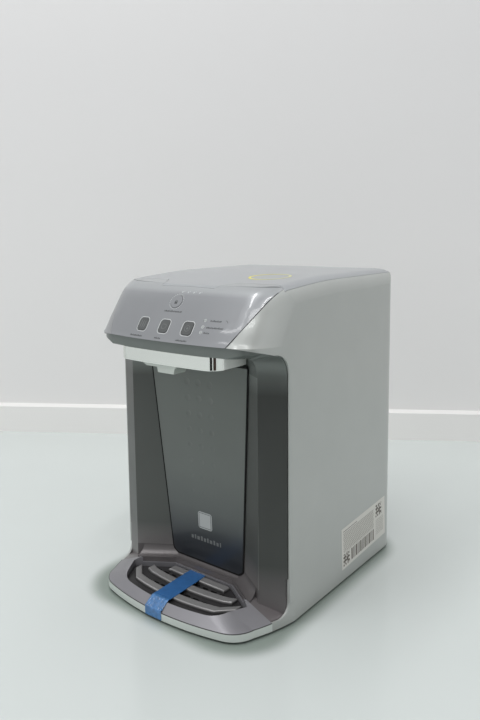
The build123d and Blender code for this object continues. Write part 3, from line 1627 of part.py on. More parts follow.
valve_front_y = valve_y - valve_depth / 2
valve_rear_y = valve_y + valve_depth / 2
spout_line_z = valve_foot_z + tube_r + fit
stub_head_z = tank_head_z + lid_plate + stub_length
tee_x = filter_r + tee_reach
bypass_y = filter_y - tee_size / 2 - bypass_drop
tube_routes = {
    "feed_tube": [
        (inlet_x, fitting_front_y, inlet_z),
        (inlet_x, regulator_y + regulator_length, inlet_z),
    ],
    "supply_tube": [
        (inlet_x, regulator_y, inlet_z),
        (inlet_x, filter_y, inlet_z),
        (inlet_x, filter_y, port_z),
        (head_wall - filter_r, filter_y, port_z),
    ],
    "filtered_tube": [
        (filter_r - head_wall, filter_y, port_z),
        (tee_x, filter_y, port_z),
        (tee_x, filter_y, tee_z - tee_size / 2),
    ],
    "tank_tube": [
        (tee_x, filter_y, tee_z + tee_size / 2),
        (tee_x, filter_y, upper_line_z),
        (tee_x, tank_y, upper_line_z),
        (tank_port_x, tank_y, upper_line_z),
        (tank_port_x, tank_y, stub_head_z),
    ],
    "bypass_tube": [
        (tee_x, filter_y - tee_size / 2, tee_z),
        (tee_x, bypass_y, tee_z),
        (tee_x, bypass_y, valve_line_z),
        (tee_x, valve_y, valve_line_z),
        (valve_half_width, valve_y, valve_line_z),
    ],
    "cold_tube": [
        (-tank_port_x, tank_y, stub_head_z),
        (-tank_port_x, tank_y, upper_line_z),
        (-tank_port_x, filter_y, upper_line_z),
        (-tank_port_x, filter_y, valve_line_z),
        (-tank_port_x, valve_rear_y, valve_line_z),
    ],
    "spout_tube": [
        (nozzle_x, valve_front_y, spout_line_z),
        (nozzle_x, nozzle_y, spout_line_z),
        (nozzle_x, nozzle_y, housing_bottom_z + boss_length),
    ],
    "drain_tube": [
        (drain_stub_x, tank_y, tank_foot_z - stub_length),
        (drain_stub_x, tank_y, drain_turn_z),
        (drain_x, tank_y, drain_turn_z),
        (drain_x, tank_y, drain_z),
        (drain_x, fitting_front_y, drain_z),
    ],
}

for tube_name, route in tube_routes.items():
    with BuildPart() as tube:
        with BuildLine() as path:
            if len(route) > 2:
                FilletPolyline(*route, radius=tube_bend_r)
            else:
                Line(*route)
        with BuildSketch(Plane(origin=path.line @ 0, z_dir=path.line % 0)):
            Circle(tube_r)
        sweep(transition=Transition.ROUND)
    tube.part.label = tube_name
    export_step(tube.part, f"parts/{tube_name}.step")

with BuildPart() as tube_tee:
    with Locations((tee_x, filter_y, tee_z)):
        Box(tee_size, tee_size, tee_size)
tube_tee.part.label = "tube_tee"
export_step(tube_tee.part, "parts/tube_tee.step")


# ---------------------------------------------------------------- power board
with BuildPart() as power_board:
    with BuildSketch(Plane.XY.offset(power_board_z)):
        with Locations((power_board_x, power_board_y)):
            Rectangle(power_board_width, power_board_depth)
    extrude(amount=board_thickness)
    with BuildSketch(Plane.XY.offset(power_board_z + board_thickness)):
        with Locations(transformer_spot):
            Rectangle(transformer_width, transformer_depth)
    extrude(amount=transformer_height)
    with BuildSketch(Plane.XY.offset(power_board_z + board_thickness)):
        with Locations(capacitor_spots):
            Circle(capacitor_r)
    extrude(amount=capacitor_height)
    with BuildSketch(Plane.XY.offset(power_board_z)):
        with Locations((power_board_x, power_board_y)):
            with GridLocations(
                power_board_width - 2 * standoff_inset, power_board_depth - 2 * standoff_inset, 2, 2
            ):
                Circle(standoff_r)
    extrude(amount=pan_top_z - power_board_z)
power_board.part.label = "power_board"
export_step(power_board.part, "parts/power_board.step")
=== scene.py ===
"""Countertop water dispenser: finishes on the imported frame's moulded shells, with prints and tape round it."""

import logging
import math
from dataclasses import dataclass, field
from enum import Enum, IntEnum
from typing import Sequence

import bpy
from mathutils import Matrix, Vector, geometry, noise
from mathutils.bvhtree import BVHTree

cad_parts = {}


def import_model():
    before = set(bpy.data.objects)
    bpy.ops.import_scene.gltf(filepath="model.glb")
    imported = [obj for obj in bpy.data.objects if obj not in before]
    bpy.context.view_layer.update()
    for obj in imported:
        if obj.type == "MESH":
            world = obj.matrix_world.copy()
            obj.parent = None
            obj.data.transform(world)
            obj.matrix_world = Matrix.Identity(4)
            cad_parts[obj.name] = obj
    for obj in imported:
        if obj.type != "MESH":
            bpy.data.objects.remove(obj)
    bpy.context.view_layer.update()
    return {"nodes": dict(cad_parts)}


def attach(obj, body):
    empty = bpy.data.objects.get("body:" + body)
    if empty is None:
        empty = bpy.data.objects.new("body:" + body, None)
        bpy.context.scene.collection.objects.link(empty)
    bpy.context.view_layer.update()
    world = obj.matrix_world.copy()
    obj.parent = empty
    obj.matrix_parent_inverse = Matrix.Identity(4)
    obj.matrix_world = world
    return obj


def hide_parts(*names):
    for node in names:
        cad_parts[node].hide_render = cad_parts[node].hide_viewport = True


MM = 0.001
PRINT_DEPTH = 0.00006
COAT_ROUGHNESS = 0.08
ROUGHNESS_SPREAD = 0.12
MOTTLE_SPAN = (0.25, 0.75)
MOTTLE_DETAIL = 3.0
GRAIN_DETAIL = 2.0
CRINKLE_DETAIL = 4.0
GRAIN_RELIEF = 0.2 * MM
BRUSH_STRETCH = (1.0, 1.0, 0.03)
FAR = 1000.0
LOG = logging.getLogger("dispenser")
Colour = tuple[float, float, float]
DisplayColour = tuple[int, int, int]
Span = tuple[float, float]
Area = tuple[float, float, float, float]
Place = tuple[float, float, float]


class Grain(Enum):
    """How a surface's fine texture is made."""

    FINE = "fine"
    BRUSHED = "brushed"
    CRINKLED = "crinkled"


def linear(red: int, green: int, blue: int) -> Colour:
    """Turn a display colour into scene-linear values.

    Args:
        red: red, 0 to 255.
        green: green, 0 to 255.
        blue: blue, 0 to 255.

    Returns:
        The three linear values.
    """
    def channel(value: int) -> float:
        """Turn one channel by the display's curve."""
        share = value / 255
        return share / 12.92 if share <= 0.04045 else ((share + 0.055) / 1.055) ** 2.4

    return channel(red), channel(green), channel(blue)


@dataclass(frozen=True)
class Facing:
    """Part of a surface that looks different, told by where it is and which way it faces.

    Attributes:
        reach: least and greatest distance from the middle plane, in millimetres.
        rise: least and greatest height, in millimetres.
        sideways: least share of the normal along X.
        ahead: greatest value of the normal's Y.
        upright: greatest share of the normal along Z.
        lighter: factor on the colour, which paints light onto the part.
        roughness: its roughness, or None for the same.
        metallic: its metallic share, or None for the same.
    """

    reach: Span = (-1.0, FAR)
    rise: Span = (-FAR, FAR)
    sideways: float = -1.0
    ahead: float = 2.0
    upright: float = 2.0
    lighter: float = 1.0
    roughness: float | None = None
    metallic: float | None = None

    def mask(self, tree: bpy.types.NodeTree) -> bpy.types.NodeSocket:
        """Add nodes that give 1 on this part of the surface and 0 elsewhere.

        Args:
            tree: the material's nodes.

        Returns:
            The output that holds the 1 or the 0.
        """
        nodes, links = tree.nodes, tree.links
        place, face = nodes.new("ShaderNodeTexCoord"), nodes.new("ShaderNodeNewGeometry")
        spot, normal = nodes.new("ShaderNodeSeparateXYZ"), nodes.new("ShaderNodeSeparateXYZ")
        links.new(place.outputs["Object"], spot.inputs[0])
        links.new(face.outputs["True Normal"], normal.inputs[0])

        def compute(
            operation: str, first: bpy.types.NodeSocket, second: bpy.types.NodeSocket | float
        ) -> bpy.types.NodeSocket:
            """Add one sum or comparison.

            Args:
                operation: its kind.
                first: its first value.
                second: its second value, an output or a number.

            Returns:
                Its result.
            """
            step = nodes.new("ShaderNodeMath")
            step.operation = operation
            links.new(first, step.inputs[0])
            if isinstance(second, float):
                step.inputs[1].default_value = second
            else:
                links.new(second, step.inputs[1])
            return step.outputs[0]

        away = compute("ABSOLUTE", spot.outputs["X"], 0.0)
        total = compute("GREATER_THAN", away, self.reach[0] * MM)
        for test in (
            compute("LESS_THAN", away, self.reach[1] * MM),
            compute("GREATER_THAN", spot.outputs["Z"], self.rise[0] * MM),
            compute("LESS_THAN", spot.outputs["Z"], self.rise[1] * MM),
            compute("GREATER_THAN", compute("ABSOLUTE", normal.outputs["X"], 0.0), self.sideways),
            compute("LESS_THAN", normal.outputs["Y"], self.ahead),
            compute("LESS_THAN", compute("ABSOLUTE", normal.outputs["Z"], 0.0), self.upright),
        ):
            total = compute("MULTIPLY", total, test)
        return total


@dataclass(frozen=True)
class Finish:
    """A moulded, painted or plated surface with a little mottling and grain.

    Attributes:
        name: name of the material.
        colour: display colour, 0 to 255.
        roughness: middle roughness.
        metallic: 1 for plated and bare metal.
        mottle: how far the colour wanders from its middle.
        mottle_size: size of the mottling, in millimetres.
        grain: kind of fine texture.
        grain_size: size of the fine texture, in millimetres.
        bump: strength of the fine texture.
        coat: share of clear coat.
        alpha: opacity.
        stops: heights in millimetres with the display colour that holds there, from the lowest up.
        axis: direction the heights are measured in; +Z unless given.
        facing: part of the surface that looks different, if any.
    """

    name: str
    colour: DisplayColour
    roughness: float = 0.4
    metallic: float = 0.0
    mottle: float = 0.04
    mottle_size: float = 40.0
    grain: Grain = Grain.FINE
    grain_size: float = 0.6
    bump: float = 0.05
    coat: float = 0.0
    alpha: float = 1.0
    stops: tuple[tuple[float, DisplayColour], ...] = ()
    axis: Place = (0.0, 0.0, 1.0)
    facing: Facing | None = None

    def make(self) -> bpy.types.Material:
        """Build the node tree, or take the one that exists already.

        Returns:
            The material.
        """
        title = f"{self.name}_finish"
        known = bpy.data.materials.get(title)
        if known is not None:
            return known
        material = bpy.data.materials.new(title)
        material.use_nodes = True
        tree = material.node_tree
        shader = tree.nodes["Principled BSDF"]
        shader.inputs["Metallic"].default_value = self.metallic
        shader.inputs["Coat Weight"].default_value = self.coat
        shader.inputs["Coat Roughness"].default_value = COAT_ROUGHNESS
        shader.inputs["Alpha"].default_value = self.alpha
        place = tree.nodes.new("ShaderNodeTexCoord").outputs["Object"]
        cloud = tree.nodes.new("ShaderNodeTexNoise")
        cloud.inputs["Scale"].default_value = 1 / (self.mottle_size * MM)
        cloud.inputs["Detail"].default_value = MOTTLE_DETAIL
        tree.links.new(place, cloud.inputs["Vector"])
        colour = self.mottled(tree, cloud.outputs["Fac"])
        if self.stops:
            colour = self.faded(tree, place, colour)
        tree.links.new(colour, shader.inputs["Base Color"])
        spread = tree.nodes.new("ShaderNodeMapRange")
        spread.inputs["To Min"].default_value = self.roughness * (1 - ROUGHNESS_SPREAD)
        spread.inputs["To Max"].default_value = min(self.roughness * (1 + ROUGHNESS_SPREAD), 1)
        tree.links.new(cloud.outputs["Fac"], spread.inputs["Value"])
        tree.links.new(spread.outputs["Result"], shader.inputs["Roughness"])
        if self.facing is not None:
            self.set_apart(tree, self.facing)
        self.emboss(tree, place)
        return material

    def mottled(self, tree: bpy.types.NodeTree, share: bpy.types.NodeSocket) -> bpy.types.NodeSocket:
        """Let the colour wander a little round its middle.

        Args:
            tree: the material's nodes.
            share: where between the darkest and the lightest a spot is.

        Returns:
            The mottled colour.
        """
        ramp = tree.nodes.new("ShaderNodeValToRGB")
        base = linear(*self.colour)
        for element, at, factor in zip(ramp.color_ramp.elements, MOTTLE_SPAN, (1 - self.mottle, 1 + self.mottle)):
            element.position = at
            element.color = (*[min(channel * factor, 1) for channel in base], 1)
        tree.links.new(share, ramp.inputs["Fac"])
        return ramp.outputs["Color"]

    def faded(
        self, tree: bpy.types.NodeTree, place: bpy.types.NodeSocket, colour: bpy.types.NodeSocket
    ) -> bpy.types.NodeSocket:
        """Change the colour with the height, from stop to stop.

        Args:
            tree: the material's nodes.
            place: the spot on the surface.
            colour: the colour before.

        Returns:
            The colour after.
        """
        nodes, links = tree.nodes, tree.links
        low, high = self.stops[0][0], self.stops[-1][0]
        height = nodes.new("ShaderNodeVectorMath")
        height.operation = "DOT_PRODUCT"
        height.inputs[1].default_value = self.axis
        links.new(place, height.inputs[0])
        share = nodes.new("ShaderNodeMapRange")
        share.inputs["From Min"].default_value = low * MM
        share.inputs["From Max"].default_value = high * MM
        links.new(height.outputs["Value"], share.inputs["Value"])
        fade = nodes.new("ShaderNodeValToRGB")
        while len(fade.color_ramp.elements) < len(self.stops):
            fade.color_ramp.elements.new(0.5)
        base = linear(*self.colour)
        for element, (at, shade) in zip(fade.color_ramp.elements, self.stops):
            element.position = (at - low) / (high - low)
            element.color = (*[c / b if b else c for c, b in zip(linear(*shade), base)], 1)
        links.new(share.outputs["Result"], fade.inputs["Fac"])
        mix = nodes.new("ShaderNodeMix")
        mix.data_type = "RGBA"
        mix.blend_type = "MULTIPLY"
        mix.inputs["Factor"].default_value = 1.0
        links.new(colour, mix.inputs["A"])
        links.new(fade.outputs["Color"], mix.inputs["B"])
        return mix.outputs["Result"]

    def emboss(self, tree: bpy.types.NodeTree, place: bpy.types.NodeSocket) -> None:
        """Raise the fine texture.

        Args:
            tree: the material's nodes.
            place: the spot on the surface.
        """
        nodes, links = tree.nodes, tree.links
        stretch = nodes.new("ShaderNodeMapping")
        links.new(place, stretch.inputs["Vector"])
        if self.grain is Grain.BRUSHED:
            stretch.inputs["Scale"].default_value = BRUSH_STRETCH
        texture = nodes.new("ShaderNodeTexNoise")
        texture.inputs["Scale"].default_value = 1 / (self.grain_size * MM)
        texture.inputs["Detail"].default_value = CRINKLE_DETAIL if self.grain is Grain.CRINKLED else GRAIN_DETAIL
        links.new(stretch.outputs["Vector"], texture.inputs["Vector"])
        relief = nodes.new("ShaderNodeBump")
        relief.inputs["Strength"].default_value = self.bump
        relief.inputs["Distance"].default_value = GRAIN_RELIEF
        links.new(texture.outputs["Fac"], relief.inputs["Height"])
        links.new(relief.outputs["Normal"], tree.nodes["Principled BSDF"].inputs["Normal"])

    def set_apart(self, tree: bpy.types.NodeTree, facing: Facing) -> None:
        """Give the facing part of the surface its own colour, roughness and metallic share; a lighter colour there
        is painted light.

        Args:
            tree: the material's nodes.
            facing: the part and what is different there.
        """
        nodes, links = tree.nodes, tree.links
        shader = nodes["Principled BSDF"]
        mask = facing.mask(tree)

        def blend(low: float, high: float) -> bpy.types.NodeSocket:
            """Give the first number off the part and the second on it."""
            step = nodes.new("ShaderNodeMapRange")
            step.inputs["To Min"].default_value = low
            step.inputs["To Max"].default_value = high
            links.new(mask, step.inputs["Value"])
            return step.outputs["Result"]

        # Painted light: the part's colour is scaled up as if it caught more light.
        if facing.lighter != 1.0:
            lit = nodes.new("ShaderNodeVectorMath")
            lit.operation = "SCALE"
            links.new(shader.inputs["Base Color"].links[0].from_socket, lit.inputs[0])
            links.new(blend(1.0, facing.lighter), lit.inputs["Scale"])
            links.new(lit.outputs["Vector"], shader.inputs["Base Color"])
        if facing.roughness is not None:
            links.new(blend(self.roughness, facing.roughness), shader.inputs["Roughness"])
        if facing.metallic is not None:
            links.new(blend(self.metallic, facing.metallic), shader.inputs["Metallic"])


SILVER_PAINT = Finish(
    "silver_paint", (172, 175, 172), 0.3, mottle=0.02, grain_size=0.35, bump=0.05, coat=0.35, metallic=0.15,
)
# Left side cover: darker towards the front corner of the head, painted shade.
LEFT_PAINT_SHADED_FRONT = Finish(
    "left_paint_shaded_front", (173, 176, 173), 0.34, mottle=0.02, grain_size=0.35, bump=0.05, coat=0.3, metallic=0.3,
    stops=((205.0, (173, 176, 173)), (232.0, (148, 149, 151))), axis=(0.0, -0.9, 0.436),
)
LID_PAINT = Finish(
    "lid_paint", (164, 167, 170), 0.30, mottle=0.02, grain_size=0.35, bump=0.05, coat=0.3, metallic=0.3,
)
# Control panel: lighter towards its top and most from 372 mm up, where it rolls into the lid: painted light.
PANEL_PAINT_LIT_TOP = Finish(
    "panel_paint_lit_top", (138, 140, 143), 0.32, mottle=0.02, grain_size=0.35, bump=0.04, coat=0.5, metallic=0.2,
    stops=((345.0, (135, 137, 140)), (372.0, (139, 141, 144)), (377.0, (156, 159, 161))),
)
# Niche fascia: painted shade darkens it up through the recess; painted light makes its foot and its top shoulders
# lighter.
NICHE_PLASTIC_SHADE_AND_LIGHT = Finish(
    "niche_plastic", (124, 124, 124), 0.34, mottle=0.03, grain_size=0.5, bump=0.06, metallic=0.35,
    stops=(
        (14.0, (116, 111, 112)), (70.0, (66, 68, 66)), (265.0, (62, 64, 62)),
        (296.0, (108, 113, 110)), (314.0, (112, 118, 115)),
    ),
    # The forward-facing walls from 56 to 98.5 mm off the middle are painted lighter: painted light.
    facing=Facing(reach=(56.0, 98.5), rise=(40.0, 285.0), ahead=-0.5, upright=0.3, lighter=1.75),
)
COVER_PLASTIC = Finish(
    "cover_plastic", (100, 104, 100), 0.30, mottle=0.03, grain_size=0.5, bump=0.04, coat=0.2, metallic=0.2,
    stops=(
        (30.0, (42, 46, 52)), (62.0, (53, 57, 62)), (102.0, (86, 91, 90)),
        (150.0, (97, 102, 99)), (240.0, (100, 105, 101)), (290.0, (93, 98, 94)),
    ),
)
BADGE_PRINT = Finish("badge_print", (176, 180, 180), 0.4, mottle=0.04, grain_size=0.5, bump=0.04, coat=0.2)
TRAY_PLASTIC = Finish("tray_plastic", (138, 137, 141), 0.38, mottle=0.03, grain_size=0.5, bump=0.06, metallic=0.4)
# Grille ribs: painted shade, dark at their foot down in the slots between them.
RIB_PLASTIC_SLOT_SHADE = Finish(
    "rib_plastic_slot_shade", (150, 149, 149), 0.32, mottle=0.03, grain_size=0.5, bump=0.06, metallic=0.4,
    stops=((16.4, (56, 55, 56)), (19.8, (150, 149, 149))),
)
BAND_PLASTIC = Finish(
    "band_plastic", (204, 211, 206), 0.34, mottle=0.02, grain_size=0.35, bump=0.05, coat=0.15,
    stops=((12.5, (204, 211, 206)), (13.0, (60, 60, 60))), axis=(0.0, -0.00843, 1.0),
)
CHROME = Finish(
    "chrome_plate", (226, 228, 224), 0.06, metallic=1.0, mottle=0.01, grain_size=3.0, bump=0.01,
    facing=Facing(sideways=0.97, roughness=0.3, metallic=0.1),
)
KEY_PLASTIC = Finish("key_plastic", (82, 84, 84), 0.42, mottle=0.05, grain_size=0.3, bump=0.08)
NOZZLE_PLASTIC = Finish("nozzle_plastic", (196, 202, 196), 0.25, mottle=0.02, coat=0.4, metallic=0.3)
LENS_PLASTIC = Finish("lens_plastic", (168, 172, 171), 0.25, mottle=0.03, coat=0.5)
LIGHT_INK = Finish("light_ink", (202, 205, 205), 0.5, mottle=0.03, grain_size=0.2, bump=0.03)
FAINT_INK = Finish("faint_ink", (190, 194, 195), 0.5, mottle=0.03, grain_size=0.2, bump=0.03)
DARK_INK = Finish("dark_ink", (74, 77, 78), 0.55, mottle=0.05, grain_size=0.2, bump=0.03)
KEY_INK = Finish("key_ink", (112, 115, 115), 0.5, mottle=0.04, grain_size=0.2, bump=0.03)
TAPE_CREASED = Finish(
    "tape_creased", (66, 118, 172), 0.3, mottle=0.3, mottle_size=4,
    grain=Grain.CRINKLED, grain_size=2.2, bump=1.0, coat=0.4,
)
TAPE_FILM = Finish(
    "tape_film", (46, 98, 154), 0.38, mottle=0.14, mottle_size=7,
    grain=Grain.CRINKLED, grain_size=1.5, bump=0.2, coat=0.2,
)
LABEL_PAPER = Finish("label_paper", (208, 207, 201), 0.6, mottle=0.02, grain_size=0.3, bump=0.05)
LABEL_TEXT = Finish("label_text", (158, 156, 150), 0.6, mottle=0.05, grain_size=0.3, bump=0.04)
LABEL_INK = Finish("label_ink", (98, 92, 86), 0.6, mottle=0.06, grain_size=0.3, bump=0.04)
STICKER_YELLOW = Finish(
    "sticker_yellow", (222, 214, 96), 0.5, mottle=0.03, grain_size=0.3, bump=0.04,
    stops=((36.0, (222, 212, 84)), (54.0, (214, 208, 108)), (72.0, (200, 200, 150))), axis=(1.0, 0.0, 0.0),
)
WHITE_PLASTIC = Finish("white_plastic", (214, 215, 211), 0.45, mottle=0.02)
REAR_PAINT = Finish("rear_paint", (120, 124, 121), 0.45, mottle=0.03, grain_size=0.5, bump=0.08)
FOAM = Finish(
    "foam", (228, 228, 224), 0.9, mottle=0.03, mottle_size=3, grain=Grain.CRINKLED, grain_size=2.5, bump=0.4,
)
STEEL = Finish(
    "steel", (176, 178, 180), 0.3, metallic=1.0, mottle=0.04, grain=Grain.BRUSHED, grain_size=0.4, bump=0.1,
)
ALUMINIUM = Finish(
    "aluminium", (190, 192, 194), 0.35, metallic=1.0, mottle=0.04, grain=Grain.BRUSHED, grain_size=0.5, bump=0.1,
)
CERAMIC = Finish("ceramic", (236, 236, 230), 0.5, mottle=0.03)
FAN_BLACK = Finish("fan_black", (30, 30, 31), 0.5, mottle=0.05, grain_size=0.5, bump=0.1)
SEAM_BLACK = Finish("seam_black", (9, 9, 10), 0.9, mottle=0.05, grain_size=0.5, bump=0.02)
BOARD_GREEN = Finish("board_green", (24, 84, 50), 0.4, mottle=0.1, mottle_size=4, coat=0.4)
TUBE_FILM = Finish("tube_plastic", (222, 224, 222), 0.3, mottle=0.03, coat=0.3)
FITTING_BLUE = Finish("fitting_plastic", (50, 74, 140), 0.4, mottle=0.05)
RUBBER = Finish("dark_rubber", (34, 34, 34), 0.75, mottle=0.06, grain_size=0.8, bump=0.15)

DRESSING: dict[Finish, tuple[str, ...]] = {
    SILVER_PAINT: ("side_cover_right",),
    LEFT_PAINT_SHADED_FRONT: ("side_cover_left",),
    LID_PAINT: ("lid",),
    PANEL_PAINT_LIT_TOP: ("control_panel", "lock_key"),
    NICHE_PLASTIC_SHADE_AND_LIGHT: ("niche_fascia",),
    COVER_PLASTIC: ("front_cover",),
    BADGE_PRINT: ("cover_badge",),
    TRAY_PLASTIC: ("drip_tray",),
    RIB_PLASTIC_SLOT_SHADE: ("drip_grille",),
    BAND_PLASTIC: ("tray_rim",),
    CHROME: ("spout_housing",),
    NOZZLE_PLASTIC: ("spout_nozzle",),
    KEY_PLASTIC: ("key_1", "key_2", "key_3"),
    LENS_PLASTIC: ("lamp_lenses",),
    STICKER_YELLOW: ("lid_sticker",),
    WHITE_PLASTIC: ("filter_bay", "filter_head", "base_pan", "tank_lid", "filter_cartridge"),
    REAR_PAINT: ("rear_panel",),
    FOAM: ("tank_foam_lower", "tank_foam_upper"),
    STEEL: ("cold_tank", "chassis", "rear_screws", "temperature_probe"),
    ALUMINIUM: ("heat_sink", "cold_block"),
    CERAMIC: ("thermoelectric_module",),
    FAN_BLACK: ("fan_frame", "fan_rotor"),
    BOARD_GREEN: ("control_board", "power_board"),
    TUBE_FILM: (
        "feed_tube", "supply_tube", "filtered_tube", "tank_tube",
        "bypass_tube", "cold_tube", "spout_tube", "drain_tube",
    ),
    FITTING_BLUE: (
        "inlet_fitting", "drain_fitting", "drain_plug", "pressure_regulator", "water_valves", "tube_tee",
    ),
    RUBBER: ("foot_1", "foot_2", "foot_3", "foot_4", "cord_gland"),
}


def dress(node: bpy.types.Object, finish: Finish) -> None:
    """Give every material slot of a node's object one finish; its mesh stays as it is."""
    for place in node.material_slots:
        place.link = "OBJECT"
        place.material = finish.make()


def new_piece(
    name: str,
    points: Sequence[Vector],
    faces: Sequence[Sequence[int]],
    finishes: Sequence[Finish],
    depth: float = PRINT_DEPTH,
) -> bpy.types.Object:
    """Make a mesh object from points in millimetres.

    Args:
        name: name of the object.
        points: corners, in millimetres.
        faces: corner numbers of each face.
        finishes: finishes of its material slots, in order.
        depth: how far its faces are thickened to the rear, in metres, or 0 for none.

    Returns:
        The new object, linked to the scene.
    """
    mesh = bpy.data.meshes.new(name)
    mesh.from_pydata([tuple(point * MM) for point in points], [], faces)
    for finish in finishes:
        mesh.materials.append(finish.make())
    piece = bpy.data.objects.new(name, mesh)
    bpy.context.scene.collection.objects.link(piece)
    if depth:
        body = piece.modifiers.new("depth", "SOLIDIFY")
        body.thickness = depth
        body.offset = -1
    return piece


@dataclass(frozen=True)
class HeadSkin:
    """Outside of the head as formulas, for the prints.

    Attributes:
        half_width: half the head's width, in millimetres, as are all lengths here.
        lip_y: Y of the panel's lower edge, in the middle.
        lip_z: its height.
        bow: how far the front bows from its middle to its corners.
        corner: how far from the side the corner starts to turn.
        slope: how far the panel leans back, in degrees.
        slope_top: height where the slope ends and the roll starts.
        roll: radius of the roll into the lid.
    """

    half_width: float = 130.0
    lip_y: float = -160.0
    lip_z: float = 323.0
    bow: float = 7.0
    corner: float = 40.0
    slope: float = 34.6
    slope_top: float = 365.0
    roll: float = 48.0

    def front(self, z: float) -> float:
        """Y of the front's middle: a slope that rolls into the lid.

        Args:
            z: height.

        Returns:
            Its Y.
        """
        rise = math.radians(self.slope)
        centre_z = self.slope_top - self.roll * math.sin(rise)
        centre_y = (
            self.lip_y + (self.slope_top - self.lip_z) * math.tan(rise) + self.roll * math.cos(rise)
        )
        if z <= self.slope_top:
            return self.lip_y + (z - self.lip_z) * math.tan(rise)
        return centre_y - math.sqrt(max(self.roll**2 - (z - centre_z) ** 2, 1.0))

    def front_at(self, x: float, z: float) -> float:
        """Y of the front surface, bow and corners included.

        Args:
            x: distance from the middle.
            z: height.

        Returns:
            Its Y.
        """
        bend = self.half_width - self.corner
        bow_radius = (bend**2 + self.bow**2) / (2 * self.bow)
        middle = self.front(z)
        if abs(x) <= bend:
            return middle + bow_radius - math.sqrt(bow_radius**2 - x * x)
        swing = math.asin(bend / bow_radius)
        radius = self.corner / (1 - math.sin(swing))
        reach = min(abs(x) - (self.half_width - radius), radius)
        return middle + self.bow + radius * math.cos(swing) - math.sqrt(max(radius**2 - reach**2, 0.0))

    def panel_point(self, x: float, z: float, lift: float = 0.0) -> Vector:
        """Point on the control panel, lifted off it.

        Args:
            x: distance from the middle.
            z: height.
            lift: how far off it, along its normal.

        Returns:
            The point.
        """
        return Vector((x, self.front_at(x, z), z)) + self.panel_normal() * lift

    def panel_normal(self) -> Vector:
        """Direction that the control panel faces."""
        rise = math.radians(self.slope)
        return Vector((0, -math.cos(rise), math.sin(rise)))


